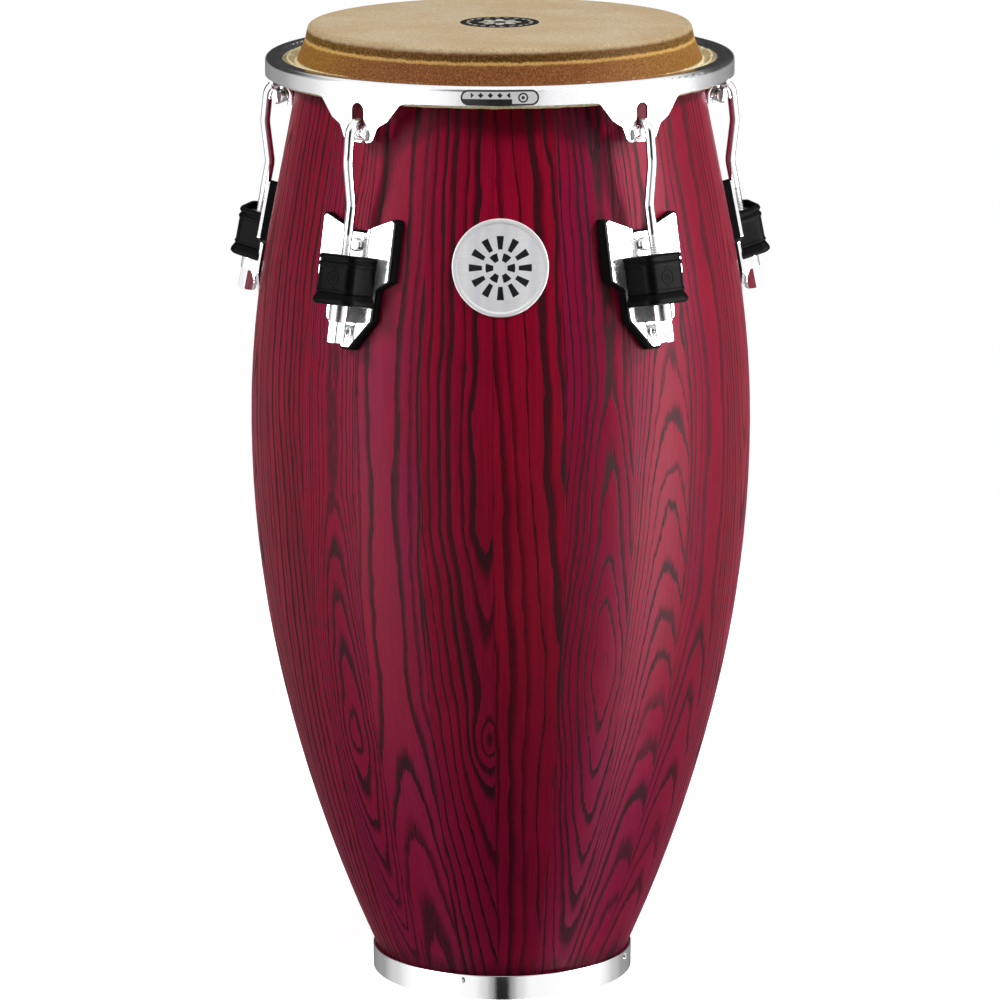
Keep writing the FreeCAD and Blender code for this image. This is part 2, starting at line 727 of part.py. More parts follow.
def lug_plate(number, azimuth):
    """The side plate with its sunk middle, and the strap welded on it that the rod passes through."""
    body = new_body(f"lug_plate_{number}")
    outline = new_sketch(body, f"plate_outline_{number}", "XZ_Plane", "-(plate_front + plate_thick)")
    draw_outline(outline, mirrored(PLATE_HALF))
    add_pad(body, outline, "plate_thick", f"plate_pad_{number}")
    groove = new_sketch(body, f"plate_groove_{number}", "XZ_Plane", "-plate_front")
    draw_outline(groove, mirrored([
        ("groove_half_width", "plate_top", None),
        ("groove_half_width", "groove_bottom", None),
    ]))
    add_pocket(body, groove, "groove_depth", f"plate_groove_cut_{number}")
    strap = new_sketch(body, f"strap_outline_{number}", "XY_Plane", "strap_bottom")
    draw_outline(strap, mirrored([
        ("strap_half_width", "plate_front + strap_weld", None),
        ("strap_half_width", "-strap_half_width", "strap_half_width - round_margin"),
    ]))
    add_pad(body, strap, "strap_top - strap_bottom", f"strap_pad_{number}")
    hollow = new_sketch(body, f"strap_hollow_{number}", "XY_Plane", "strap_top")
    draw_outline(hollow, mirrored([
        ("strap_half_width - strap_wall", "plate_front", None),
        ("strap_half_width - strap_wall", "strap_wall - strap_half_width",
         "strap_half_width - strap_wall - round_margin"),
    ]))
    add_pocket(body, hollow, "strap_top - strap_bottom - strap_seat_height", f"strap_hollow_cut_{number}")
    rod_hole = new_sketch(body, f"rod_hole_{number}", "XY_Plane", "strap_top")
    draw_circle(rod_hole, "0", "0", "rod_radius + strap_rod_gap")
    add_pocket(body, rod_hole, "strap_top - strap_bottom + cut_margin", f"rod_hole_cut_{number}")
    plate_holes = new_sketch(body, f"plate_holes_{number}", "XZ_Plane", "cut_margin - plate_front")
    draw_circle(plate_holes, "0", "lug_bolt_upper", "lug_bolt_radius + plate_hole_gap")
    draw_circle(plate_holes, "0", "lug_bolt_lower", "lug_bolt_radius + plate_hole_gap")
    add_pocket(body, plate_holes, "plate_thick + 2 * cut_margin", f"plate_holes_cut_{number}")
    body.Placement = lug_placement(azimuth)
    return body


shell_form = new_body("shell_form")
form_section = new_sketch(shell_form, "form_section", "XZ_Plane")
form_arcs = draw_curve(form_section, outer_curve, size("foot_top"), "* 1")
form_top = size("bearing_taper_bottom")
chain(form_section, (form_arcs[-1], 2), [
    FreeCAD.Vector(outer_curve.neck_radius(form_top), form_top, 0),
    FreeCAD.Vector(0, form_top, 0),
    FreeCAD.Vector(0, size("foot_top"), 0),
], (form_arcs[0], 1))
add_revolution(shell_form, form_section, "form_turn")


def lug_gasket(number, azimuth):
    """The rubber pad between a flat plate and the round shell, a little wider than the plate."""
    body = new_body(f"gasket_blank_{number}")
    back = "-(plate_front + plate_thick + gasket_reach)"
    outline = new_sketch(body, f"gasket_outline_{number}", "XZ_Plane", back)
    draw_outline(outline, mirrored(grown(PLATE_HALF, "gasket_overhang")))
    add_pad(body, outline, "gasket_reach", f"gasket_pad_{number}")
    body.Placement = lug_placement(azimuth)
    fitted = cut(body, shell_form, f"gasket_fitted_{number}")
    return cut(fitted, drilling, f"lug_gasket_{number}")


def sleeve_outline(body, name, height, growth):
    """The sleeve's section at a height: widest at the plate, with round outer corners."""
    sketch = new_sketch(body, name, "XY_Plane", height)
    draw_outline(sketch, mirrored([
        (f"sleeve_base_half_width + {growth}", "plate_front - sleeve_gap", None),
        (f"sleeve_half_width + {growth}", f"-(sleeve_front + {growth})", f"sleeve_round + {growth}"),
    ]))
    return sketch


def rubber_sleeve(number, azimuth):
    """The rubber sleeve over a strap: beads at its top, a flared lip, and a well round the rod."""
    body = new_body(f"rubber_sleeve_{number}")
    barrel = sleeve_outline(body, f"sleeve_barrel_{number}", "sleeve_bottom", "0")
    add_pad(body, barrel, "sleeve_top - sleeve_bottom", f"sleeve_pad_{number}")
    loft = body.newObject("PartDesign::AdditiveLoft", f"sleeve_lip_{number}")
    loft.Profile = sleeve_outline(body, f"lip_foot_{number}", "sleeve_bottom", "sleeve_lip_flare")
    lip_top = "sleeve_bottom + sleeve_lip_height"
    loft.Sections = [sleeve_outline(body, f"lip_head_{number}", lip_top, "sleeve_lip_start")]
    for bead in range(2):
        height = f"sleeve_top - sleeve_bead_drop - sleeve_bead_height - {bead} * sleeve_bead_pitch"
        band = sleeve_outline(body, f"bead_{number}_{bead}", height, "sleeve_bead")
        add_pad(body, band, "sleeve_bead_height", f"bead_pad_{number}_{bead}")
    well = new_sketch(body, f"sleeve_well_{number}", "XY_Plane", "sleeve_top")
    draw_outline(well, mirrored([
        ("sleeve_base_half_width - sleeve_wall", "plate_front", None),
        ("sleeve_half_width - sleeve_wall", "sleeve_wall - sleeve_front", "sleeve_round - sleeve_wall"),
    ]))
    add_pocket(body, well, "sleeve_well_depth", f"sleeve_well_cut_{number}")
    passage = new_sketch(body, f"sleeve_passage_{number}", "XY_Plane", "sleeve_top")
    draw_outline(passage, mirrored([
        ("strap_half_width + sleeve_gap", "plate_front", None),
        ("strap_half_width + sleeve_gap", "-(strap_half_width + sleeve_gap)", "strap_half_width"),
    ]))
    add_pocket(body, passage, "sleeve_top - sleeve_bottom + cut_margin", f"sleeve_passage_cut_{number}")
    body.Placement = lug_placement(azimuth)
    return body


def hook_bolt(number, azimuth):
    """The bent rod: straight through the strap, kinked clear of the ear, and hooked over its knuckle."""
    body = new_body(f"hook_bolt_{number}")
    path = new_sketch(body, f"rod_path_{number}", "YZ_Plane")
    end = "(rod_end_height - lug_height) * tan(lug_tilt * 1 deg) - lug_radius"
    kink = "(rod_kink_height - lug_height) * tan(lug_tilt * 1 deg) - lug_radius"
    draw_outline(path, [
        (end, "rod_end_height", None),
        (kink, "rod_kink_height", "rod_kink_round"),
        ("-rod_bulge_radius", "rod_bulge_height", "rod_bulge_round"),
        ("-hook_outer_radius", "hook_crown_height", "hook_bend_radius"),
        ("-hook_inner_radius", "hook_crown_height", "hook_bend_radius"),
        ("-hook_inner_radius", "hook_tip_height", None),
    ], closed=False)
    section = body.newObject("Sketcher::SketchObject", f"rod_section_{number}")
    section.AttachmentSupport = [(origin_plane(body, "XY_Plane"), "")]
    section.MapMode = "FlatFace"
    section.AttachmentOffset = FreeCAD.Placement(
        FreeCAD.Vector(0, size(end), size("rod_end_height")), FreeCAD.Rotation(X_AXIS, -size("lug_tilt")))
    draw_circle(section, "0", "0", "rod_radius")
    doc.recompute()
    pipe = body.newObject("PartDesign::AdditivePipe", f"rod_sweep_{number}")
    pipe.Profile = section
    pipe.Spine = (path, [f"Edge{edge + 1}" for edge in range(len(path.Shape.Edges))])
    body.Placement = turned(azimuth)
    return body


def tuning_nut(number, azimuth):
    """The long six-sided nut below a strap, with a running clearance on the rod."""
    body = new_body(f"tuning_nut_{number}")
    outline = new_sketch(body, f"nut_outline_{number}", "XY_Plane", "nut_top - nut_length")
    draw_hexagon(outline, "nut_across_flats")
    draw_circle(outline, "0", "0", "rod_radius + nut_clearance")
    add_pad(body, outline, "nut_length", f"nut_pad_{number}")
    body.Placement = lug_placement(azimuth)
    return body


for number, azimuth in enumerate(LUG_AZIMUTHS, start=1):
    finish(f"lug_gasket_{number}", lug_gasket(number, azimuth))
    finish(f"lug_plate_{number}", lug_plate(number, azimuth))
    finish(f"rubber_sleeve_{number}", rubber_sleeve(number, azimuth))
    finish(f"hook_bolt_{number}", hook_bolt(number, azimuth))
    finish(f"tuning_nut_{number}", tuning_nut(number, azimuth))


# ---------------------------------------------------------------- lug fasteners
def head_seat(up):
    """How deep a bolt's head sits: the upper one is in the plate's sunk middle."""
    return size("plate_front") + (size("groove_depth") if up > size("groove_bottom") else 0)


finish("lug_bolts", turned_fasteners("lug_bolts", [
    ("0", "-lug_bolt_length", None),
    ("lug_bolt_radius", "-lug_bolt_length", None),
    ("lug_bolt_radius", "0", None),
    ("lug_bolt_head_radius", "0", None),
    ("lug_bolt_head_radius", "lug_bolt_head_height", "lug_bolt_round"),
    ("0", "lug_bolt_head_height", None),
], [into_shell(azimuth, up, head_seat(up)) for azimuth, up, _ in bolt_seats()]))


def washer_outline(section):
    draw_circle(section, "0", "0", "backing_washer_radius")


def nut_outline(section):
    draw_hexagon(section, "backing_nut_across_flats")


def backing(name, outline, thick, depth_offset):
    """Washers or nuts on the inner ends of the lug bolts, pushed inwards from one flat section."""
    section = doc.addObject("Sketcher::SketchObject", f"{name}_section")
    outline(section)
    draw_circle(section, "0", "0", "lug_bolt_radius")
    copies = []
    for number, (azimuth, up, depth) in enumerate(bolt_seats(), start=1):
        copy = doc.addObject("Part::Extrusion", f"{name}_{number}")
        copy.Base = section
        copy.DirMode = "Custom"
        copy.Dir = FreeCAD.Vector(0, 0, -1)
        copy.setExpression("LengthFwd", bind(thick))
        copy.Solid = True
        copy.Placement = into_shell(azimuth, up, depth + size(depth_offset))
        copies.append(copy)
    return group(copies, name)


finish("lug_backing_washers", backing("lug_backing_washers", washer_outline, "backing_washer_thick", "0"))
finish("lug_backing_nuts", backing(
    "lug_backing_nuts", nut_outline, "backing_nut_thick", "backing_washer_thick"))

# ---------------------------------------------------------------- badge
badge_curve = ShellCurve(size("badge_thick"))
badge_form = new_body("badge_form")
badge_section = new_sketch(badge_form, "badge_section", "XZ_Plane")
badge_arcs = draw_curve(badge_section, badge_curve, size("foot_top"), "+ badge_thick")
chain(badge_section, (badge_arcs[-1], 2), [
    FreeCAD.Vector(badge_curve.neck_radius(form_top), form_top, 0),
    FreeCAD.Vector(0, form_top, 0),
    FreeCAD.Vector(0, size("foot_top"), 0),
], (badge_arcs[0], 1))
add_revolution(badge_form, badge_section, "badge_form_turn")
badge_punch = doc.addObject("Part::Cylinder", "badge_punch")
badge_punch.setExpression("Radius", bind("badge_radius"))
badge_punch.setExpression("Height", bind("badge_punch_length"))
badge_seat = FreeCAD.Placement(
    FreeCAD.Vector(0, -outer_curve.neck_radius(size("badge_height")), size("badge_height")),
    FreeCAD.Rotation(X_AXIS, 90 - size("neck_taper")))
half_back = FreeCAD.Placement(FreeCAD.Vector(0, 0, -size("badge_punch_length") / 2), FreeCAD.Rotation())
badge_punch.Placement = badge_seat.multiply(half_back)
badge_blank = doc.addObject("Part::Common", "badge_blank")
badge_blank.Base = badge_form
badge_blank.Tool = badge_punch
finish("badge", cut(badge_blank, shell_form, "badge"))

# ---------------------------------------------------------------- checks and export
doc.recompute()
for item in doc.Objects:
    if "Invalid" in item.State or "Error" in item.State:
        raise RuntimeError(f"{item.Label} failed: {item.State}")
for node, piece in finished.items():
    if piece.Shape.isNull() or not piece.Shape.isValid():
        raise RuntimeError(f"{node} has no valid shape")
    print(f"{node}: {len(piece.Shape.Solids)} solid(s), {piece.Shape.Volume:.0f} mm3")
for node, piece in finished.items():
    piece.Shape.exportStep(f"parts/{node}.step")
print(f"{len(finished)} nodes")
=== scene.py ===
import json
import math
import random

import bmesh
import bpy
from mathutils import Matrix, Vector, noise
from mathutils.bvhtree import BVHTree


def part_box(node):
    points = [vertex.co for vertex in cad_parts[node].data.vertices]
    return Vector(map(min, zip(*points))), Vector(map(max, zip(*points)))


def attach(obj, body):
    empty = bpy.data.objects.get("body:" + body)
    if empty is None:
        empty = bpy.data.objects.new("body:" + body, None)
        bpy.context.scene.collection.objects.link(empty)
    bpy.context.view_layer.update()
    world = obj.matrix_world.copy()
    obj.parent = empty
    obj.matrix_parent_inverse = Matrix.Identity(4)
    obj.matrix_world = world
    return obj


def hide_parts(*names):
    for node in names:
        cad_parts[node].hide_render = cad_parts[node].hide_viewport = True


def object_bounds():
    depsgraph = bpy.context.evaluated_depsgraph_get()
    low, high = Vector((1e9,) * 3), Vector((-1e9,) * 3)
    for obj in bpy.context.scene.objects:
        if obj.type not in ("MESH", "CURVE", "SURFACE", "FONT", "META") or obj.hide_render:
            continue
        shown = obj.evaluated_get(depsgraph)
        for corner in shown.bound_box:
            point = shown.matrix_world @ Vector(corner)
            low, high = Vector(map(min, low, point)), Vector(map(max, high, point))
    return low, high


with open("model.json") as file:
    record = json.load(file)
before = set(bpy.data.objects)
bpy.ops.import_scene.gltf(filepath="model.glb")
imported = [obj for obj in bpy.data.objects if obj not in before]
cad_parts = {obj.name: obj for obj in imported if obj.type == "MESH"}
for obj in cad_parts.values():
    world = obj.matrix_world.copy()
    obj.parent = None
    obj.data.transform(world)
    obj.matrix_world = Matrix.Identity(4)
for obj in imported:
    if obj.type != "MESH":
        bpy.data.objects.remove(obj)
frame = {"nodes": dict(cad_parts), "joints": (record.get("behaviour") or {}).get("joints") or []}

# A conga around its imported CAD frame: ash staves stained crimson, a rawhide head, chromed rim, hooks and
# lugs, and black rubber.  Metres, with azimuths measured from the front (-Y) towards +X.

CAD_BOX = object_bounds()
NODES = frame["nodes"]
JOINTS = {joint["name"]: joint for joint in frame["joints"]}
MM = 0.001
LUGS = range(1, 6)


# ---- node graphs
def srgb(red, green, blue):
    """A display colour, 0 to 255, as the linear colour that shaders take."""
    def linear(value):
        value /= 255
        return value / 12.92 if value <= 0.04045 else ((value + 0.055) / 1.055) ** 2.4
    return (linear(red), linear(green), linear(blue))


class Graph:
    """Writes a node tree: each call adds a node and gives one of its outputs."""

    def __init__(self, tree):
        self.tree = tree

    def set(self, socket, value):
        if isinstance(value, bpy.types.NodeSocket):
            self.tree.links.new(value, socket)
        elif socket.type == "RGBA":
            socket.default_value = (*value, 1.0)
        else:
            socket.default_value = value

    def add(self, kind, inputs, output=0, **settings):
        node = self.tree.nodes.new(kind)
        for name, value in settings.items():
            setattr(node, name, value)
        for key, value in inputs.items():
            self.set(node.inputs[key], value)
        return node.outputs[output]

    def math(self, operation, *values, clamp=False):
        return self.add("ShaderNodeMath", dict(enumerate(values)), operation=operation, use_clamp=clamp)

    def plus(self, first, *others):
        for other in others:
            first = self.math("ADD", first, other)
        return first

    def times(self, first, *others):
        for other in others:
            first = self.math("MULTIPLY", first, other)
        return first

    def band(self, value, start, end):
        """0 up to start, 1 from end on, and a smooth step between them."""
        inputs = {"Value": value, "From Min": start, "From Max": end}
        return self.add("ShaderNodeMapRange", inputs, interpolation_type="SMOOTHSTEP")

    def split(self, vector):
        node = self.tree.nodes.new("ShaderNodeSeparateXYZ")
        self.set(node.inputs[0], vector)
        return node.outputs[0], node.outputs[1], node.outputs[2]

    def place(self):
        """The object coordinates in millimetres."""
        point = self.tree.nodes.new("ShaderNodeTexCoord").outputs["Object"]
        return self.add("ShaderNodeVectorMath", {0: point, 1: (1000, 1000, 1000)}, operation="MULTIPLY")

    def noise(self, vector, scale=1.0, detail=2.0, roughness=0.5):
        """Cloudy noise from 0 to 1, whose lumps are about 1 / scale millimetres."""
        inputs = {"Vector": vector, "Scale": scale, "Detail": detail, "Roughness": roughness}
        return self.add("ShaderNodeTexNoise", inputs)

    def grain(self, across, along, wide, long, seed, detail=2.0):
        """Noise drawn out along the grain: its lumps are about wide by long millimetres."""
        across = self.math("DIVIDE", across, wide)
        along = self.math("DIVIDE", along, long)
        return self.noise(self.add("ShaderNodeCombineXYZ", {0: across, 1: seed, 2: along}), detail=detail)

    def minus(self, value):
        return self.math("MULTIPLY", value, -1)

    def swing(self, value, amount):
        """Noise, whose middle is 0.5, as an offset of up to about the amount either way."""
        return self.math("MULTIPLY_ADD", value, 2 * amount, -amount)

    def mix(self, share, first, second):
        """The first colour at share 0 and the second at share 1."""
        return self.add("ShaderNodeMix", {0: share, 6: first, 7: second}, 2, data_type="RGBA")

    def bump(self, height, distance):
        return self.add("ShaderNodeBump", {"Height": height, "Distance": distance})

    def polar(self, across, up):
        """The distance and the angle of a point from its middle."""
        squares = self.plus(self.times(across, across), self.times(up, up))
        return self.math("SQRT", squares), self.math("ARCTAN2", up, across)


def new_material(name, **fixed):
    """A material with its graph and its Principled shader, whose fixed sockets are set on the shader."""
    material = bpy.data.materials.new(name)
    material.use_nodes = True
    shader = material.node_tree.nodes["Principled BSDF"]
    graph = Graph(material.node_tree)
    for socket, value in fixed.items():
        graph.set(shader.inputs[socket.replace("_", " ")], value)
    return material, graph, shader.inputs


# ---- ash
GRAIN_SOCKETS = ["Turn", "Heart", "Eye", "Top", "Rise", "Fall", "Breadth", "Bluntness", "Spacing", "Wander",
                 "Seed", "Tone", "Magenta", "Knot Across", "Knot Up", "Knot Depth"]
HALF_STAVE = 180 / 22  # degrees of the shell's circle
KNOT_WIDE = 13  # millimetres
KNOT_LONG = 24
HEART_ROUNDING = 2 ** 2  # squares of the lengths over which the arches' and the eye's corners are rounded
EYE_ROUNDING = 3 ** 2
STAIN = srgb(112, 4, 24)
STAIN_PALE = srgb(164, 14, 47)
STAIN_PURPLE = srgb(140, 14, 64)
PORES = srgb(24, 2, 7)
FIBRE = srgb(60, 2, 16)
# The darkest colour of the painted shade above the foot ring.
FOOT_SHADE = srgb(34, 2, 10)
SEAM = srgb(24, 2, 8)
WOOD_BUMP = 0.00006
SHEEN_HEIGHTS = (90, 460)
SHEEN_LOW = 0.14
SHEEN_RISE = 0.42


# Every noise below adds a number of its own to the board's seed, so that no two noises look alike.
def ring_radius(g, given, across, up):
    """How far out in the tree a point of the board is: the sum of flank, climb, waves and knot."""
    seed = given["Seed"]
    sway = g.times(g.swing(g.grain(across, up, 60, 170, seed), 1.0), given["Wander"])
    swell = g.swing(g.grain(across, up, 34, 90, g.plus(seed, 3.1)), 6.0)
    ripple = g.swing(g.grain(across, up, 9, 34, g.plus(seed, 5.7)), 1.5)
    ragged = g.swing(g.grain(across, up, 1.3, 20, g.plus(seed, 9.3), 3), 1.4)
    aside = g.plus(across, g.minus(given["Heart"]), sway)
    aside = g.math("SQRT", g.plus(g.times(aside, aside), HEART_ROUNDING))
    aside = g.math("DIVIDE", aside, given["Breadth"])
    flank = g.times(given["Breadth"], g.math("POWER", aside, given["Bluntness"]))
    above = g.math("SUBTRACT", g.math("MINIMUM", up, given["Top"]), given["Eye"])
    is_above = g.math("GREATER_THAN", above, 0)
    slope = g.plus(given["Fall"], g.times(is_above, g.math("SUBTRACT", given["Rise"], given["Fall"])))
    climb = g.times(above, slope)
    climb = g.math("SQRT", g.plus(g.times(climb, climb), EYE_ROUNDING))
    knot_across = g.math("DIVIDE", g.math("SUBTRACT", across, given["Knot Across"]), KNOT_WIDE)
    knot_up = g.math("DIVIDE", g.math("SUBTRACT", up, given["Knot Up"]), KNOT_LONG)
    knot = g.plus(g.times(knot_across, knot_across), g.times(knot_up, knot_up))
    knot = g.times(given["Knot Depth"], g.math("EXPONENT", g.minus(knot)))
    return g.plus(flank, climb, swell, ripple, ragged, knot)


def ring_marks(g, given, across, up, fibre):
    """Each ring's dark porous side, with one sharp edge and a width and strength of its own, and dark
    flecks.  Gives the darkness, and how far through its ring the point is."""
    seed = given["Seed"]
    radius = ring_radius(g, given, across, up)
    uneven = g.noise(g.add("ShaderNodeCombineXYZ", {0: g.math("DIVIDE", radius, 24), 1: seed}))
    phase = g.plus(g.math("DIVIDE", radius, given["Spacing"]), g.swing(uneven, 0.7))
    ring = g.plus(g.math("FLOOR", phase), g.math("MULTIPLY", seed, 7))
    share = g.math("FRACT", phase)
    wide = g.add("ShaderNodeTexWhiteNoise", {"W": ring}, noise_dimensions="1D")
    strong = g.add("ShaderNodeTexWhiteNoise", {"W": g.plus(ring, 0.37)}, noise_dimensions="1D")
    width = g.math("MULTIPLY_ADD", wide, 0.45, 0.26)
    pored = g.times(g.band(share, width, g.math("MULTIPLY", width, 0.35)), g.band(share, 0.0, 0.07))
    fleck = g.band(g.grain(across, up, 0.9, 9, g.plus(seed, 7.7)), 0.54, 0.68)
    strength = g.math("MULTIPLY_ADD", strong, 0.6, 0.6)
    dark = g.times(pored, strength, g.math("MULTIPLY_ADD", fibre, 0.8, 0.6))
    return g.plus(dark, g.times(fleck, g.math("MULTIPLY_ADD", pored, 0.25, 0.13))), share


def stained(g, given, across, up, share, thread):
    """The stain's colour between the rings: lighter and darker patches, and purple ones, more so low down."""
    seed = given["Seed"]
    patch = g.grain(across, up, 26, 90, g.plus(seed, 4.4))
    pale = g.plus(g.swing(patch, 0.55), g.swing(thread, 0.5), given["Tone"], 0.42)
    pale = g.math("ADD", pale, g.times(share, 0.12), clamp=True)
    purple = g.band(g.grain(across, up, 45, 160, g.plus(seed, 8.8)), 0.42, 0.68)
    purple = g.times(g.math("MULTIPLY_ADD", purple, 0.7, 0.5), given["Magenta"])
    purple = g.math("ADD", purple, g.times(g.band(up, 330, 110), 0.35), clamp=True)
    return g.mix(purple, g.mix(pale, STAIN, STAIN_PALE), STAIN_PURPLE)


def ash_grain():
    """Stained flat-sawn ash: arches of growth rings between straight flanks.  Heart is how far their middle
    is from the board's, Eye the height at which they close, Top the height above which they run straight,
    Rise and Fall how close they follow each other above and below the eye, Breadth and Bluntness how wide
    and how round they are, and Spacing the distance between rings.  Lengths are millimetres."""
    tree = bpy.data.node_groups.new("ash_grain", "ShaderNodeTree")
    for name in GRAIN_SOCKETS:
        tree.interface.new_socket(name=name, in_out="INPUT", socket_type="NodeSocketFloat")
    for name, kind in (("Color", "Color"), ("Roughness", "Float"), ("Height", "Float")):
        tree.interface.new_socket(name=name, in_out="OUTPUT", socket_type="NodeSocket" + kind)
    given = tree.nodes.new("NodeGroupInput").outputs
    result = tree.nodes.new("NodeGroupOutput").inputs
    g = Graph(tree)
    seed = given["Seed"]
    back = g.minus(given["Turn"])
    facing = g.add("ShaderNodeVectorRotate", {"Vector": g.place(), "Angle": back}, rotation_type="Z_AXIS")
    across, inward, up = g.split(facing)
    fibre = g.grain(across, up, 0.6, 30, g.plus(seed, 1.9), 3)
    thread = g.grain(across, up, 2.4, 70, g.plus(seed, 6.1))
    dark, share = ring_marks(g, given, across, up, fibre)
    color = stained(g, given, across, up, share, thread)
    color = g.mix(g.band(fibre, 0.35, 0.75), g.mix(0.22, color, FIBRE), color)
    color = g.mix(g.math("MINIMUM", dark, 0.96), color, PORES)

    # painted shade at the foot, above the foot ring, and the seams at both sides
    foot_shade = g.band(g.plus(up, g.swing(g.grain(across, up, 7, 22, g.plus(seed, 2.7)), 14)), 40, 18)
    color = g.mix(g.times(foot_shade, 0.65), color, FOOT_SHADE)
    turn = g.math("ABSOLUTE", g.math("ARCTAN2", across, g.minus(inward)))
    edge = g.band(turn, math.radians(HALF_STAVE - 0.16), math.radians(HALF_STAVE - 0.02))
    color = g.mix(g.times(edge, 0.6), color, SEAM)
    g.set(result["Color"], color)
    g.set(result["Roughness"], g.plus(g.times(dark, 0.14), g.swing(thread, 0.05), 0.36))
    g.set(result["Height"], g.math("MULTIPLY", g.plus(dark, edge, g.times(fibre, 0.3)), -1))
    return tree


# How each stave was cut from its board, by its place round the drum from the one right of the front seam:
# the values of GRAIN_SOCKETS after the turn.  A board without a knot leaves the last three at zero.
BOARDS = {
    -5: (-10, 250, 700, 0.12, 0.14, 24, 1.6, 10.0, 8, 2.3, -0.16, 0.3),
    -4: (-46, 380, 600, 0.10, 0.08, 30, 1.1, 8.6, 6, 8.1, -0.10, 0.3),
    -3: (4, 222, 420, 0.15, 0.22, 18, 1.9, 5.8, 4, 1.2, 0.14, 0.6),
    -2: (-2, -40, 260, 0.14, 0.10, 30, 1.8, 12.0, 8, 4.6, 0.26, 0.7),
    -1: (21, 740, 400, 0.10, 0.20, 18, 1.35, 12.0, 7, 3.5, 0.16, 0.3, 21, 228, -26),
    0: (-40, -300, 800, 0.04, 0.05, 30, 1.0, 12.0, 8, 6.2, 0.22, 0.1),
    1: (8, 278, 500, 0.15, 0.22, 20, 1.5, 8.4, 4, 5.4, 0.12, 0.7),
    2: (11, 40, 540, 0.19, 0.12, 30, 2.3, 7.6, 3, 7.9, 0.2, 0.6),
    3: (6, -30, 330, 0.18, 0.12, 34, 1.9, 9.6, 5, 9.6, 0.0, 0.45),
    4: (14, 500, 620, 0.10, 0.15, 24, 1.7, 9.0, 7, 0.7, -0.05, 0.3),
}
# The same for the staves at the back, as ranges to pick from.
BOARD_RANGES = [(-20, 20), (-50, 760), (300, 700), (0.10, 0.18), (0.10, 0.20), (16, 34), (1.4, 2.2), (6, 11),
                (4, 8), (0, 10), (-0.08, 0.10), (0.1, 0.7)]


def seeded_board(place):
    """A board for a stave at the back, always the same one for the same place."""
    pick = random.Random(100 + place)
    return [pick.uniform(low, high) for low, high in BOARD_RANGES]


def stave_azimuth(node):
    """The azimuth of a stave's middle, halfway between its two sides."""
    flat_points = [Vector((vertex.co.x, -vertex.co.y)) for vertex in NODES[node].data.vertices]
    rough = sum((point.normalized() for point in flat_points), Vector((0, 0)))
    aside = [rough.angle_signed(point) for point in flat_points]
    return math.atan2(rough.x, rough.y) + (min(aside) + max(aside)) / 2


def ash(name, azimuth, group):
    """A stave's wood, turned to its azimuth.  Its sheen rises with height."""
    material, g, shader = new_material(name, IOR=1.2)
    node = material.node_tree.nodes.new("ShaderNodeGroup")
    node.node_tree = group
    place = round((math.degrees(azimuth) / HALF_STAVE - 1) / 2)
    values = BOARDS.get(place) or seeded_board(place)
    for socket, value in zip(GRAIN_SOCKETS, (azimuth, *values)):
        node.inputs[socket].default_value = value
    g.set(shader["Base Color"], node.outputs["Color"])
    g.set(shader["Roughness"], node.outputs["Roughness"])
    _, _, height = g.split(g.place())
    raised = g.band(height, *SHEEN_HEIGHTS)
    g.set(shader["Specular IOR Level"], g.math("MULTIPLY_ADD", raised, SHEEN_RISE, SHEEN_LOW))
    g.set(shader["Normal"], g.bump(node.outputs["Height"], WOOD_BUMP))
    return material


# ---- metals
CHROME = (0.90, 0.90, 0.91)
METAL_BUMP = 0.00002


def chrome(name, color=CHROME, metallic=1.0, polish=0.05, haze=0.06):
    """Plated steel: a mirror with faint wiping marks and a slight ripple in its plating."""
    material, g, shader = new_material(name, Base_Color=color, Metallic=metallic)
    place = g.place()
    smears = g.noise(place, 0.045, 4, 0.6)
    specks = g.noise(place, 1.9, 2)
    rough = g.plus(g.times(g.band(smears, 0.45, 0.75), haze), g.times(specks, 0.02), polish)
    g.set(shader["Roughness"], rough)
    g.set(shader["Normal"], g.bump(g.noise(place, 0.12, 2), METAL_BUMP))
    return material


def steel(name, color, rough):
    """Turned steel with fine tool marks round it."""
    material, g, shader = new_material(name, Base_Color=color, Metallic=1.0)
    marks = g.noise(g.place(), 1.4, 4, 0.7)
    g.set(shader["Roughness"], g.plus(g.swing(marks, 0.10), rough))
    g.set(shader["Normal"], g.bump(marks, METAL_BUMP))
    return material


# ---- rubber
DUST_GAIN = 2.6
RUBBER_BUMP = 0.00006


def rubber(name, color, rough):
    """Moulded black rubber: a satin skin with a fine grain and a little dust."""
    material, g, shader = new_material(name, Specular_IOR_Level=0.15, IOR=1.2)
    place = g.place()
    cloud = g.noise(place, 0.10, 3)
    dust = g.band(g.noise(place, 0.9, 3, 0.7), 0.62, 0.82)
    dusty = [channel * DUST_GAIN for channel in color]
    g.set(shader["Base Color"], g.mix(g.plus(g.times(dust, 0.35), g.swing(cloud, 0.1)), color, dusty))
    g.set(shader["Roughness"], g.plus(g.swing(cloud, 0.08), g.times(dust, 0.12), rough))
    g.set(shader["Normal"], g.bump(g.noise(place, 2.6, 2), RUBBER_BUMP))
    return material


# ---- rawhide
HIDE_COLLAR = (735.4, 733.6)  # heights in millimetres, each pair the start and the end of a change
# Where the painted highlight along the ledge fades in and out.
HIDE_LEDGE_HIGHLIGHT = (748.6, 750.4)
HIDE_LEDGE_HIGHLIGHT_END = (752.6, 751.2)
# Where the painted shade in the groove fades in and out.
HIDE_GROOVE_SHADE = (751.2, 753.4)
HIDE_GROOVE_SHADE_END = (759.2, 756.6)
HIDE_TOP = (756.6, 760.2)
HIDE_SHOULDER = (136, 148)  # distances from the axis
HIDE_BUMP = 0.00025


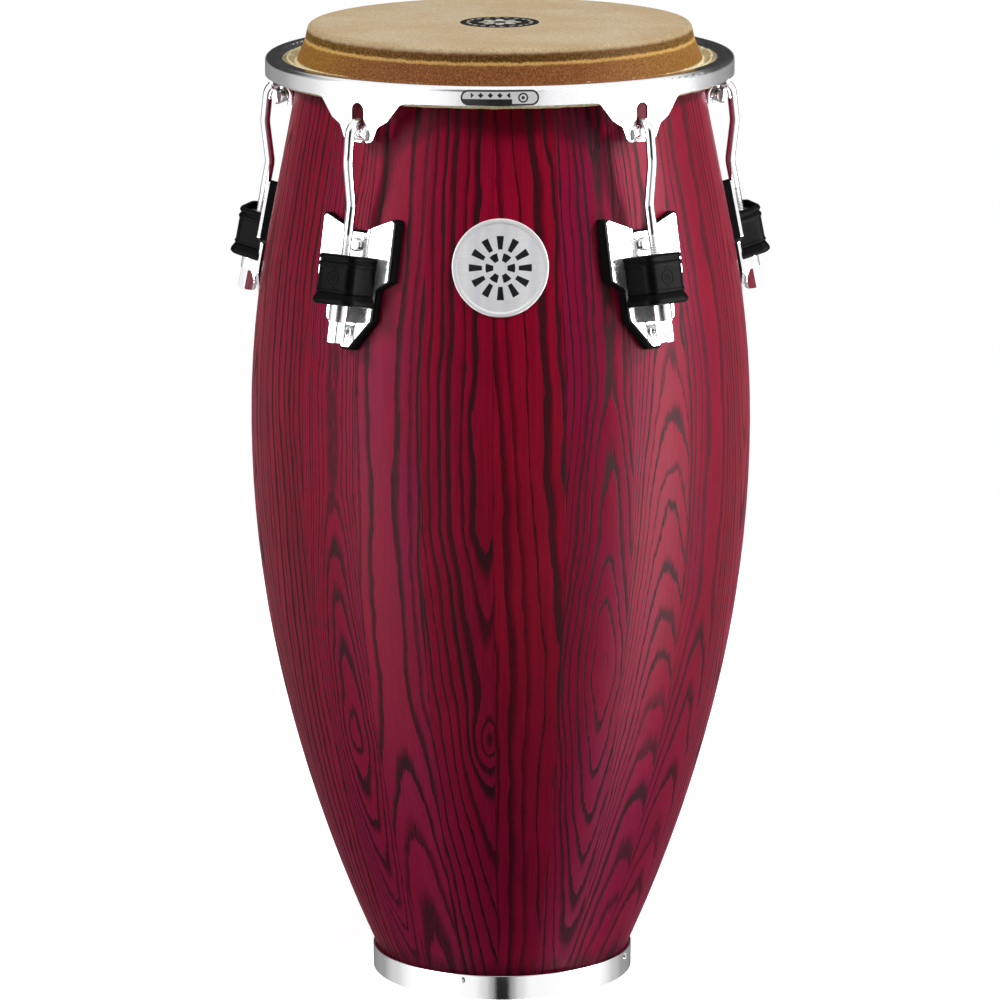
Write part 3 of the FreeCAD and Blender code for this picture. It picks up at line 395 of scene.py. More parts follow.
def hide_top(g, place, cloud, veins, speck):
    """The playing face: pale, with veins and brown specks."""
    top = g.mix(g.band(cloud, 0.35, 0.68), srgb(203, 186, 157), srgb(192, 170, 138))
    top = g.mix(g.times(g.band(veins, 0.52, 0.74), 0.5), top, srgb(200, 166, 138))
    top = g.mix(g.times(g.band(speck, 0.48, 0.62), 0.5), top, srgb(150, 122, 82))
    pores = g.noise(place, 0.24, 4, 0.8)
    return g.mix(g.times(g.band(pores, 0.50, 0.64), 0.45), top, srgb(176, 148, 110))


def hide_side(g, place, uneven, speck, grit):
    """The head's side: mottled brown, redder in front, with a painted highlight along a ledge, below painted
    shade in a groove.
    """
    x, y, _ = g.split(place)
    front = g.band(g.minus(y), 60, 140)
    right = g.band(x, 30, 150)
    side = g.mix(front, srgb(150, 106, 42), srgb(124, 70, 44))
    side = g.mix(g.times(right, 0.6), side, srgb(146, 100, 46))
    side = g.mix(g.times(g.band(speck, 0.40, 0.60), 0.8), side, srgb(78, 40, 14))
    side = g.mix(g.times(g.band(grit, 0.54, 0.68), 0.85), side, srgb(214, 164, 92))
    # A pale line along the ledge: a painted highlight.
    ledge = g.times(g.band(uneven, *HIDE_LEDGE_HIGHLIGHT), g.band(uneven, *HIDE_LEDGE_HIGHLIGHT_END))
    side = g.mix(g.times(ledge, g.band(grit, 0.30, 0.55)), side, srgb(216, 176, 102))
    # A dark band in the groove: painted shade, broken up by the hide's own specks.
    groove = g.times(g.band(uneven, *HIDE_GROOVE_SHADE), g.band(uneven, *HIDE_GROOVE_SHADE_END))
    mottled = g.math("MULTIPLY_ADD", g.band(speck, 0.38, 0.56), 0.8, 0.2)
    return g.mix(g.times(groove, mottled), side, srgb(70, 52, 14))


def rawhide(name):
    """A head's rawhide by where it is: pale on top, mottled brown down its side, and cream at its collar."""
    material, g, shader = new_material(name, Subsurface_Radius=(0.004, 0.002, 0.001), Subsurface_Scale=0.4,
                                       Specular_IOR_Level=0.5, IOR=1.2)
    place = g.place()
    x, y, z = g.split(place)
    radius, _ = g.polar(x, y)
    speck = g.noise(place, 0.72, 3, 0.8)
    grit = g.noise(place, 2.3, 2, 0.6)
    cloud = g.noise(place, 0.020, 4, 0.6)
    veins = g.noise(place, 0.055, 5, 0.7)
    uneven = g.plus(z, g.swing(speck, 1.6), g.swing(g.noise(place, 0.16, 2), 1.2))
    side = hide_side(g, place, uneven, speck, grit)
    color = g.mix(g.band(uneven, *HIDE_TOP), side, hide_top(g, place, cloud, veins, speck))
    halo = g.times(g.band(radius, *HIDE_SHOULDER), g.band(speck, 0.42, 0.62), g.band(z, 758, 761))
    color = g.mix(g.times(halo, 0.65), color, srgb(166, 136, 74))
    collar = g.band(g.plus(z, g.swing(speck, 0.8)), *HIDE_COLLAR)
    cream = g.mix(g.band(cloud, 0.4, 0.6), srgb(236, 226, 190), srgb(216, 200, 156))
    g.set(shader["Base Color"], g.mix(collar, color, cream))
    g.set(shader["Roughness"], g.plus(g.swing(speck, 0.12), 0.52))
    rough = g.plus(g.times(speck, 0.6), g.times(grit, 0.3), g.times(veins, 1.2))
    g.set(shader["Normal"], g.bump(rough, HIDE_BUMP))
    return material


def frayed_hide(name):
    """The trimmed edge of the hide: cream and tufted."""
    material, g, shader = new_material(name, Roughness=0.75, Specular_IOR_Level=0.3)
    place = g.place()
    tufts = g.noise(place, 0.5, 4, 0.7)
    color = g.mix(g.band(tufts, 0.35, 0.65), srgb(206, 190, 142), srgb(244, 236, 206))
    g.set(shader["Base Color"], g.mix(g.band(g.noise(place, 0.07, 3), 0.5, 0.8), color, srgb(226, 206, 158)))
    g.set(shader["Normal"], g.bump(tufts, 0.0004))
    return material


# ---- printed plates
# Every print is drawn in millimetres: a band's two numbers are where an edge of the ink starts and ends.
def head_print(name):
    """A black disc with a pale ring of dashes round a plain rosette of eight petals."""
    material, g, shader = new_material(name, Specular_IOR_Level=0.4, IOR=1.2)
    place = g.place()
    x, y, _ = g.split(place)
    radius, angle = g.polar(x, y)
    inside = g.band(radius, 26.3, 26.0)
    ring = g.times(inside, g.band(radius, 23.4, 23.7))
    dashes = g.band(g.math("SINE", g.math("MULTIPLY", angle, 20)), -0.25, -0.1)
    petals = g.math("ABSOLUTE", g.math("COSINE", g.math("MULTIPLY", angle, 4)))
    reach = g.math("MULTIPLY_ADD", petals, 9.0, 8.0)
    rosette = g.band(g.math("SUBTRACT", reach, radius), -0.2, 0.2)
    hub = g.band(radius, 5.0, 5.3)
    pale = g.math("MAXIMUM", g.times(ring, dashes), g.times(rosette, hub))
    worn = g.band(g.noise(place, 0.35, 4, 0.7), 0.30, 0.55)
    ink = g.mix(g.noise(place, 0.2, 3), srgb(18, 16, 17), srgb(34, 30, 30))
    g.set(shader["Base Color"], g.mix(g.times(pale, worn), ink, srgb(205, 200, 186)))
    g.set(shader["Roughness"], g.plus(g.swing(g.noise(place, 0.8, 3), 0.1), 0.42))
    return material


def pill_print(name, middle, half_length, half_height):
    """A white pill with a black border and plain black shapes; middle is its height."""
    material, g, shader = new_material(name, Specular_IOR_Level=0.5, Coat_Weight=0.4, Coat_Roughness=0.12)
    place = g.place()
    x, _, z = g.split(place)
    up = g.math("SUBTRACT", z, middle)
    past = g.math("MAXIMUM", g.math("SUBTRACT", g.math("ABSOLUTE", x), half_length - half_height), 0)
    reach, _ = g.polar(past, up)
    field = g.band(reach, half_height - 1.25, half_height - 1.55)

    # a black bar along the lower half, a chain of lozenges over it, and a target at the right
    lower = g.times(g.band(up, -0.9, -1.1), g.band(x, 9.4, 9.0))
    lozenge = g.plus(g.math("ABSOLUTE", g.math("WRAP", x, 3.6, -3.6)), g.math("ABSOLUTE", g.plus(up, -1.8)))
    chain = g.times(g.band(lozenge, 2.2, 1.9), g.band(x, 8.0, 7.7), g.band(x, -22.0, -21.7))
    spot, _ = g.polar(g.math("SUBTRACT", x, 17.5), up)
    hoop = g.times(g.band(spot, 3.9, 3.7), g.band(spot, 2.5, 2.7))
    target = g.math("MAXIMUM", hoop, g.band(spot, 1.4, 1.2))
    black = g.math("MAXIMUM", g.math("MAXIMUM", lower, chain), target)
    white = g.times(field, g.math("SUBTRACT", 1.0, black))
    grime = g.noise(place, 0.5, 3)
    ink = g.mix(grime, srgb(14, 13, 14), srgb(30, 28, 29))
    g.set(shader["Base Color"], g.mix(white, ink, g.mix(grime, srgb(232, 232, 232), srgb(246, 246, 246))))
    g.set(shader["Roughness"], g.plus(g.swing(grime, 0.08), 0.3))
    return material


def badge_metal(name, height):
    """A silver plate with a brushed face, painted reflection bands across it, and a black rosette of bars in
    two rings.
    """
    material, g, shader = new_material(name, Metallic=0.15)
    place = g.place()
    x, _, z = g.split(place)
    up = g.math("SUBTRACT", z, height)
    radius, angle = g.polar(x, up)
    brushed = g.grain(up, x, 0.25, 22, 2.0, 3)
    # Lighter and darker bands across the face, varying only along x: a painted reflection.
    sheen = g.band(g.noise(g.add("ShaderNodeCombineXYZ", {0: g.math("DIVIDE", x, 11)}), detail=1), 0.3, 0.7)
    bars = g.band(g.math("COSINE", g.math("MULTIPLY", angle, 12)), 0.10, 0.22)
    outer = g.times(g.band(radius, 24.0, 23.7), g.band(radius, 13.7, 14.0), bars)
    turned = g.math("COSINE", g.math("MULTIPLY", angle, 6))
    inner = g.times(g.band(radius, 11.4, 11.1), g.band(radius, 5.2, 5.5), g.band(turned, -0.3, -0.2))
    black = g.math("MAXIMUM", outer, inner)
    face = g.mix(sheen, srgb(238, 238, 242), srgb(254, 254, 255))
    face = g.mix(g.times(g.band(brushed, 0.5, 0.7), 0.25), face, srgb(170, 171, 178))
    lip = g.band(radius, 33.2, 33.6)
    face = g.mix(lip, face, srgb(252, 252, 253))
    g.set(shader["Base Color"], g.mix(black, face, srgb(18, 19, 22)))
    sunk = g.math("SUBTRACT", 1.0, lip)
    g.set(shader["Roughness"], g.plus(g.times(sunk, 0.16), g.swing(brushed, 0.06), 0.16))
    g.set(shader["Normal"], g.bump(g.plus(g.times(brushed, 0.3), g.times(black, -1.0)), 0.00006))
    return material


def wear(node, material):
    """Gives a CAD node its finish."""
    NODES[node].data.materials.clear()
    NODES[node].data.materials.append(material)


# ---- mesh helpers
def new_piece(name, points, faces, material, body):
    """A smooth closed piece from its points and faces, that rides on a body and takes a slot's finish."""
    mesh = bpy.data.meshes.new(name)
    mesh.from_pydata(points, [], faces)
    mesh.validate()
    mesh.polygons.foreach_set("use_smooth", [True] * len(mesh.polygons))
    mesh.materials.append(material)
    piece = bpy.data.objects.new(name, mesh)
    bpy.context.scene.collection.objects.link(piece)
    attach(piece, body)
    outward(piece)
    return piece


def circle_turns(count):
    """Evenly spaced angles round a circle."""
    return [2 * math.pi * index / count for index in range(count)]


def skin(rows, wrap_rows, wrap_columns):
    """Faces between rows of points, the rows all of one length and listed one after another."""
    count = len(rows)
    width = len(rows[0])
    faces = []
    for i in range(count if wrap_rows else count - 1):
        here = i * width
        following = (i + 1) % count * width
        for j in range(width if wrap_columns else width - 1):
            beside = (j + 1) % width
            faces.append((here + j, here + beside, following + beside, following + j))
    return faces


def flat(rows):
    """The rows' points in one list."""
    return [point for row in rows for point in row]


def outward(piece):
    """Turns the faces of a closed piece to point out."""
    mesh = bmesh.new()
    mesh.from_mesh(piece.data)
    bmesh.ops.recalc_face_normals(mesh, faces=mesh.faces)
    mesh.to_mesh(piece.data)
    mesh.free()


def creased(piece, degrees):
    """Keeps edges sharper than an angle crisp on a smooth piece."""
    piece.data.set_sharp_from_angle(angle=math.radians(degrees))


def tube(name, spine, material, body, sides=24):
    """A closed rod along a spine of (point, across, beside, radius), where radius takes an angle."""
    rows = []
    for point, across, beside, radius in spine:
        rows.append([point + (across * math.cos(turn) + beside * math.sin(turn)) * radius(turn)
                     for turn in circle_turns(sides)])
    faces = skin(rows, False, True)
    last = (len(rows) - 1) * sides
    faces.append(tuple(range(sides)))
    faces.append(tuple(reversed(range(last, last + sides))))
    piece = new_piece(name, flat(rows), faces, material, body)
    creased(piece, degrees=40)
    return piece


# ---- lug places
NUT_MIDDLE = 29.65 * MM  # from the nut's joint up to the rod's zero


class Lug:
    """Where a lug is: x runs round the shell, y into it, and z up the rod, from the rod's own zero."""

    def __init__(self, number):
        joint = JOINTS[f"nut_{number}_turn"]
        self.up = -Vector(joint["axis"]).normalized()
        self.out = Vector((-self.up.x, -self.up.y, 0)).normalized()
        self.around = Vector((-self.out.y, self.out.x, 0))
        self.inward = self.up.cross(self.around)
        self.zero = Vector(joint["pos_m"]) + self.up * NUT_MIDDLE

    def at(self, x, y, z):
        """A point given in millimetres in the lug's own directions."""
        return self.zero + (self.around * x + self.inward * y + self.up * z) * MM

    def plane(self, radius, height):
        """A point in the upright plane through the rod, from the drum's axis, in millimetres."""
        return self.out * radius * MM + Vector((0, 0, height * MM))


# ---- hook bolts
# each corner's distance from the drum's axis, height and rounding, from the threaded end to the hook's tip
HOOK_PATH = [(212.2, 542.6, 0), (191.6, 644, 16), (195.4, 676, 28), (191.9, 706, 10), (172.45, 706, 10),
             (172.45, 689, 0)]
PLAIN_STEP = 1.2  # between the rings of the plain part
ROD_RADIUS = 3.9
ROD_END_RINGS = (0.80, 0.93)
THREAD_PITCH = 1.25
THREAD_DEPTH = 0.55
THREAD_LENGTH = 81.0
THREAD_STEPS = 6


def rounded_path(corners, step):
    """Points and directions along a path in a plane whose corners are arcs, about a step apart."""
    path = []
    start = Vector(corners[0][:2])
    for before, corner, after in zip(corners, corners[1:], corners[2:]):
        middle = Vector(corner[:2])
        coming = (middle - Vector(before[:2])).normalized()
        going = (Vector(after[:2]) - middle).normalized()
        turn = coming.angle_signed(going)
        reach = corner[2] * math.tan(abs(turn) / 2)
        begin = middle - coming * reach
        path += straight_run(start, begin, step)
        arc_steps = max(2, round(abs(turn) * corner[2] / step))
        side = Vector((-coming.y, coming.x)) * (-1 if turn > 0 else 1)
        centre = begin + side * corner[2]
        for index in range(arc_steps + 1):
            spin = Matrix.Rotation(-turn * index / arc_steps, 2)
            path.append((centre + spin @ (begin - centre), spin @ coming))
        start = middle + going * reach
    end = Vector(corners[-1][:2])
    path += straight_run(start, end, step)
    path.append((end, (end - start).normalized()))
    return path


def straight_run(start, end, step):
    """Points and directions from start to just before end."""
    direction = end - start
    count = max(1, round(direction.length / step))
    return [(start + direction * index / count, direction.normalized()) for index in range(count)]


def thread_radius(along, turn):
    """The rod's radius, with a thread cut on its lower length."""
    fade = min(1.0, max(0.0, (THREAD_LENGTH - along) / THREAD_PITCH), max(0.0, along / THREAD_PITCH))
    wave = abs(((along / THREAD_PITCH + turn / (2 * math.pi)) % 1.0) * 2 - 1)
    return (ROD_RADIUS - THREAD_DEPTH * fade * wave) * MM


def hook_bolt(number, lug, material):
    """The bent rod: threaded below, bowed out over the shell, and hooked over the ear's bar."""
    spine = []
    along = 0.0
    kept = 0.0
    path = rounded_path(HOOK_PATH, THREAD_PITCH / THREAD_STEPS)
    last, _ = path[0]
    for point, direction in path:
        along += (point - last).length
        last = point
        if along > THREAD_LENGTH + THREAD_PITCH and along - kept < PLAIN_STEP:
            continue
        kept = along
        across = lug.out * direction.y - Vector((0, 0, direction.x))
        spine.append((lug.plane(*point), across, lug.around,
                      lambda turn, along=along: thread_radius(along, turn)))
    spine = end_rings(spine[0]) + spine + end_rings(spine[-1])[::-1]
    piece = tube(f"hook_rod_{number}", spine, material, f"hook_{number}")
    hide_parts(f"hook_bolt_{number}")


def end_rings(station):
    """Smaller rings on a rod's flat end, from the inside out, that keep its shading even."""
    point, across, beside, _ = station
    return [(point, across, beside, lambda turn, share=share: ROD_RADIUS * share * MM)
            for share in ROD_END_RINGS]


# ---- tuning nuts
NUT_TOP = -21.4  # millimetres along the rod from its zero
NUT_LENGTH = 16.5
NUT_FLAT = 6.5  # from the middle to a flat
NUT_ROUND = 7.25  # the corners are turned to this radius
NUT_END_ROUND = 6.35  # and to this one at both ends, from where the cut widens
NUT_CUT_SLOPE = 1.7
NUT_CUTS = [0, 0.12, 0.25, 0.38, 0.5, 0.62, 0.75]
NUT_BORE = 4.05
NUT_MOUTH = 4.7
NUT_MOUTH_DEPTH = 0.55
NUT_ANGLES = [-30, -28.2, -26.3, -18, -9, 0, 9, 18, 26.3, 28.2]


def tuning_nut(number, lug, material):
    """The long hexagon nut, one flat facing out, chamfered at its ends and bored for the rod."""
    bottom = NUT_TOP - NUT_LENGTH
    cuts = [(depth, NUT_END_ROUND + depth * NUT_CUT_SLOPE) for depth in NUT_CUTS]
    profile = [(NUT_TOP - depth, limit) for depth, limit in cuts]
    profile += [(bottom + depth, limit) for depth, limit in reversed(cuts)]
    profile += [(bottom, NUT_MOUTH), (bottom + NUT_MOUTH_DEPTH, NUT_BORE)]
    profile += [(NUT_TOP - NUT_MOUTH_DEPTH, NUT_BORE), (NUT_TOP, NUT_MOUTH)]
    rows = []
    for height, limit in profile:
        row = []
        for side in range(6):
            for from_flat in NUT_ANGLES:
                turn = math.radians(60 * side + from_flat)
                radius = min(limit, NUT_ROUND, NUT_FLAT / math.cos(math.radians(from_flat)))
                row.append(lug.at(radius * math.sin(turn), -radius * math.cos(turn), height))
        rows.append(row)
    faces = skin(rows, True, True)
    piece = new_piece(f"hex_nut_{number}", flat(rows), faces, material, f"nut_{number}")
    creased(piece, degrees=20)
    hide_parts(f"tuning_nut_{number}")


# ---- rubber sleeves
SLEEVE_TOP = 29.3
SLEEVE_HEIGHT = 38.6
SLEEVE_BACK = 11.4
SLEEVE_WALL = 3.0
SLEEVE_EDGE = 2.4  # the wall where its inner edge is rounded
SLEEVE_WELL = 4.0
SLEEVE_OUTSIDE = (21.2, 16.5, 13, 8)  # half widths at the back and in front, reach to the front, corner
SLEEVE_PASSAGE = (8.12, 8.12, 8.12, 8.0)
# the depth below the top, and how much the outside grows there
SLEEVE_SIDE = [(38.6, -1.2), (38.45, -0.2), (37.9, 1.2), (37.0, 2.2), (36.0, 2.4), (34.8, 2.3), (33.2, 1.5),
               (31.6, 0.65), (30.5, 0.15), (29.8, -0.35), (29.3, 0.0), (28.8, 0.55), (28.2, 0.7), (27.5, 0.4),
               (26.6, 0.05), (25.5, 0.0), (18.0, 0.0), (10.6, 0.0), (9.6, 0.05), (8.9, 0.5), (7.9, 0.9),
               (6.9, 0.75), (6.0, 0.15), (4.9, -0.45), (4.1, -0.1), (3.4, 0.6), (2.6, 0.9), (1.8, 0.7),
               (1.0, 0.2), (0.45, 0.0), (0.1, -0.4), (0.0, -1.0)]


def bracket_outline(base_half, half, front, corner, steps=8):
    """A sleeve's section seen from above, open at its back: straight sides leaning in to a round front."""
    base = Vector((base_half, SLEEVE_BACK))
    outer = Vector((half, -front))
    lean = (outer - base).normalized()
    turn = lean.angle(Vector((-1, 0)))
    reach = corner * math.tan(turn / 2)
    begin = outer - lean * reach
    points = [base.lerp(begin, index / 3) for index in range(3)]
    inside = Vector((lean.y, -lean.x))
    centre = begin + inside * corner
    for index in range(steps + 1):
        points.append(centre + Matrix.Rotation(-turn * index / steps, 2) @ (begin - centre))
    points.append(Vector((points[-1].x / 2, -front)))
    return points + [Vector((0, -front))] + [Vector((-p.x, p.y)) for p in reversed(points)]


def sleeve(number, lug, material):
    """The rubber sleeve: beads round its top, a groove and a flared lip below, and a well at the rod."""
    def grown(growth):
        return bracket_outline(*(size + growth for size in SLEEVE_OUTSIDE))

    loop = [(depth, grown(growth)) for depth, growth in SLEEVE_SIDE]
    inner = grown(-SLEEVE_WALL)
    passage = bracket_outline(*SLEEVE_PASSAGE)
    loop += [(0.1, grown(-SLEEVE_EDGE)), (0.5, inner), (SLEEVE_WELL, inner)]
    loop += [(SLEEVE_WELL, passage), (SLEEVE_HEIGHT, passage)]
    rows = [[lug.at(p.x, p.y, SLEEVE_TOP - depth) for p in outline] for depth, outline in loop]
    faces = skin(rows, True, False)
    width = len(rows[0])
    faces.append(tuple(index * width for index in range(len(rows))))
    faces.append(tuple(index * width + width - 1 for index in reversed(range(len(rows)))))
    piece = new_piece(f"sleeve_{number}", flat(rows), faces, material, "shell")
    creased(piece, degrees=55)
    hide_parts(f"rubber_sleeve_{number}")


MEDALLION_DEPTH = 18.0  # its middle below the sleeve's top
MEDALLION_SUNK = -12.9  # millimetres towards the drum: just under the sleeve's front
MEDALLION_FACE = -13.0
BOSS_TAPER = 0.8


def medallion(number, lug, material):
    """A raised ring with a five-petalled flower, and a lozenge above and below it, moulded on the sleeve."""
    points = []
    faces = []

    def raised(centre_x, centre_z, outline, height):
        """A low boss from an outline of (x, z) points on the sleeve's front."""
        start = len(points)
        count = len(outline)
        points.extend(lug.at(centre_x + x, MEDALLION_SUNK, centre_z + z) for x, z in outline)
        points.extend(lug.at(centre_x + x * BOSS_TAPER, MEDALLION_FACE - height, centre_z + z * BOSS_TAPER)
                      for x, z in outline)
        for index in range(count):
            beside = (index + 1) % count
            faces.append((start + index, start + beside, start + count + beside, start + count + index))
        faces.append(tuple(range(start + count, start + 2 * count)))
        faces.append(tuple(reversed(range(start, start + count))))

    def circle(radius, sides):
        return [(radius * math.cos(turn), radius * math.sin(turn)) for turn in circle_turns(sides)]

    middle = SLEEVE_TOP - MEDALLION_DEPTH
    for x, z in circle(5.2, 40):
        raised(x, middle + z, circle(0.5, 8), 0.35)
    for x, z in circle(2.3, 5):
        raised(x, middle + z, circle(1.0, 10), 0.35)
    raised(0, middle, circle(0.8, 10), 0.45)
    lozenge = [(0, 1.1), (-2.6, 0), (0, -1.1), (2.6, 0)]
    raised(0, middle + 7.2, lozenge, 0.3)
    raised(0, middle - 7.2, lozenge, 0.3)
    piece = new_piece(f"sleeve_{number}_medallion", points, faces, material, "shell")
    creased(piece, degrees=30)


# ---- edges of the hide
COLLAR_STEPS = 900
FOLD_STEPS = 360
FOLD_RADIUS = 175.6
FOLD_HEIGHT = 722.6
FOLD_THICK = (3.2, 2.4)  # half its width and half its height


def frayed_collar(material):
    """The hide's trimmed edge, standing up raggedly between the head's side and the rim's lip."""
    _, rim_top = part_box("rim")
    lip_top = rim_top.z / MM
    rows = []
    for turn in circle_turns(COLLAR_STEPS):
        ring = Vector((math.cos(turn), math.sin(turn), 0))
        tall = noise.noise(ring * 9) * 1.6 + noise.noise(ring * 60) * 1.1
        out = noise.noise(ring * 7 + Vector((0, 0, 5))) * 1.5 + noise.noise(ring * 45) * 0.5
        section = [(158.9, -6.2), (161.4, -4.6), (163.8 + out, -2.9 + tall * 0.7), (165.3 + out, -1.9 + tall),
                   (166.0 + out, -2.1 + tall), (165.3 + out, -3.6 + tall * 0.7), (162.6, -5.7), (160.0, -7.2)]
        rows.append([ring * radius * MM + Vector((0, 0, (lip_top + rise) * MM)) for radius, rise in section])
    new_piece("hide_collar", flat(rows), skin(rows, True, True), material, "rim")


def hide_fold(material):
    """The fold of hide that shows as a cream line under the rim's band."""
    half_wide, half_high = FOLD_THICK
    section = [(half_wide * math.cos(turn), half_high * math.sin(turn)) for turn in circle_turns(12)]
    rows = []
    for turn in circle_turns(FOLD_STEPS):
        ring = Vector((math.cos(turn), math.sin(turn), 0))
        lift = noise.noise(ring * 20) * 0.5
        rows.append([ring * (FOLD_RADIUS + out) * MM + Vector((0, 0, (FOLD_HEIGHT + up + lift) * MM))
                     for out, up in section])
    new_piece("hide_fold", flat(rows), skin(rows, True, True), material, "rim")


# ---- foot ring screws
SCREW_RINGS = 12
SCREW_SIDES = 48
SCREW_FIRST = -18  # degrees from the front
SCREW_DOME = 0.5  # millimetres that the dome falls to its edge
CROSS_DEPTH = 0.75
CROSS_HALF_WIDTH = 0.13  # shares of the screw's radius
CROSS_REACH = 0.68


def screw_dome(top, middle, out, reach):
    """Rings of a screw's dome from its middle out, with the cross cut into it."""
    beside = Vector((-out.y, out.x, 0))
    rows = []
    for ring in range(1, SCREW_RINGS + 1):
        share = ring / SCREW_RINGS
        row = []
        for turn in circle_turns(SCREW_SIDES):
            across = math.cos(turn) * share
            up = math.sin(turn) * share
            in_cross = min(abs(across), abs(up)) < CROSS_HALF_WIDTH and share < CROSS_REACH
            depth = SCREW_DOME * share * share + (CROSS_DEPTH if in_cross else 0)
            height = Vector((0, 0, middle + up * reach))
            row.append(out * (top - depth * MM) + beside * across * reach + height)
        rows.append(row)
    return rows


def ring_screws(material):
    """The four screws of the foot ring, each where the CAD has it."""
    corners = [vertex.co for vertex in NODES["base_ring_screws"].data.vertices]
    points = []
    faces = []
    for quarter in range(4):
        azimuth = math.radians(SCREW_FIRST + 90 * quarter)
        out = Vector((math.sin(azimuth), -math.cos(azimuth), 0))
        own = [corner for corner in corners if corner.dot(out) > corner.length * 0.9]
        top = max(corner.dot(out) for corner in own)
        back = min(corner.dot(out) for corner in own)
        low = min(corner.z for corner in own)
        high = max(corner.z for corner in own)
        rows = screw_dome(top, (low + high) / 2, out, (high - low) / 2)
        rows.append([point + out * (back - top) for point in rows[-1]])
        start = len(points)
        first = start + 1
        points.append(out * (top - CROSS_DEPTH * MM) + Vector((0, 0, (low + high) / 2)))
        points.extend(flat(rows))
        faces.extend(tuple(first + index for index in face) for face in skin(rows, False, True))
        faces.extend((start, first + (side + 1) % SCREW_SIDES, first + side) for side in range(SCREW_SIDES))
        last = first + (len(rows) - 1) * SCREW_SIDES
        faces.append(tuple(range(last, last + SCREW_SIDES)))
    piece = new_piece("ring_screws", points, faces, material, "shell")
    creased(piece, degrees=40)
    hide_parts("base_ring_screws")


# ---- badge
# each ring's radius and how far it stands above the CAD's face, from the middle out
BADGE_RINGS = [0, 4, 8, 12, 16, 20, 24, 28, 31, 32.6, 33.0, 33.4, 33.9, 34.6, 35.4, 36.1, 36.5, 36.7]
BADGE_LIFT = [-0.55] * 10 + [-0.5, -0.25, -0.06, 0, 0, -0.06, -0.25, -0.7]
BADGE_SIDES = 96
BADGE_REACH = 35.8  # the outermost ring at which the CAD's face is read
BADGE_BACK = 0.6


def badge():
    """The badge: a plate bent round the shell, with a sunk face inside a raised, rounded lip."""
    low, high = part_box("badge")
    middle = (low.z + high.z) / 2
    cad = NODES["badge"].data
    surface = BVHTree.FromPolygons([v.co for v in cad.vertices], [p.vertices[:] for p in cad.polygons])

    def cad_depth(x, z):
        hit, _, _, _ = surface.ray_cast(Vector((x, low.y - 0.1, z)), Vector((0, 1, 0)))
        return hit.y

    rows = []
    for radius, lift in zip(BADGE_RINGS, BADGE_LIFT):
        reach = min(radius, BADGE_REACH) * MM
        row = []
        for turn in circle_turns(BADGE_SIDES):
            sideways = Vector((math.cos(turn), 0, math.sin(turn)))
            depth = cad_depth(reach * sideways.x, middle + reach * sideways.z) - lift * MM
            row.append(Vector((0, depth, middle)) + sideways * radius * MM)
        rows.append(row)
    rows.append([point + Vector((0, BADGE_BACK * MM, 0)) for point in rows[-1]])
    centre = sum(rows[0], Vector()) / BADGE_SIDES
    points = [centre] + flat(rows[1:])
    faces = [tuple(index + 1 for index in face) for face in skin(rows[1:], False, True)]
    faces += [(0, 1 + (side + 1) % BADGE_SIDES, 1 + side) for side in range(BADGE_SIDES)]
    last = 1 + (len(rows) - 2) * BADGE_SIDES
    faces.append(tuple(range(last, last + BADGE_SIDES)))
    material = badge_metal("badge_metal", middle / MM)
    piece = new_piece("badge_plate", points, faces, material, "shell")
    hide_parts("badge")


# ---- finishes
def dress():
    """Gives each CAD node that stays its finish, and builds the pieces that replace or join the others."""
    group = ash_grain()
    for name in NODES:
        if name.startswith("stave"):
            wear(name, ash(f"ash_{name}", stave_azimuth(name), group))
    rim_chrome = chrome("rim_chrome", polish=0.15, haze=0.05)
    lug_chrome = chrome("lug_chrome", color=(0.95, 0.95, 0.95), metallic=0.85, polish=0.10, haze=0.06)
    rod_chrome = chrome("rod_chrome", polish=0.04, haze=0.03)
    fastener = steel("fastener_steel", (0.80, 0.80, 0.82), 0.18)
    black_rubber = rubber("gasket_rubber", (0.0015, 0.0015, 0.0016), 0.6)
    sleeve_rubber = rubber("sleeve_rubber", (0.0025, 0.0025, 0.0027), 0.34)
    for number in LUGS:
        wear(f"lug_gasket_{number}", black_rubber)
        wear(f"lug_plate_{number}", lug_chrome)
        lug = Lug(number)
        hook_bolt(number, lug, rod_chrome)
        tuning_nut(number, lug, rod_chrome)
        sleeve(number, lug, sleeve_rubber)
        medallion(number, lug, sleeve_rubber)
    wear("lug_bolts", fastener)
    ring_screws(fastener)
    zinc = steel("zinc_steel", (0.62, 0.61, 0.58), 0.32)
    for name in ("lug_backing_washers", "lug_backing_nuts", "flesh_hoop"):
        wear(name, zinc)
    wear("base_ring", chrome("foot_chrome", haze=0.09))
    wear("rim", rim_chrome)
    wear("head_skin", rawhide("rawhide"))
    cream = frayed_hide("frayed_hide")
    frayed_collar(cream)
    hide_fold(cream)
    wear("head_label", head_print("head_print"))
    low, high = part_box("rim_label")
    half_length = (high.x - low.x) / 2 / MM
    half_height = (high.z - low.z) / 2 / MM
    wear("rim_label", pill_print("label_print", (low.z + high.z) / 2 / MM, half_length, half_height))
    badge()


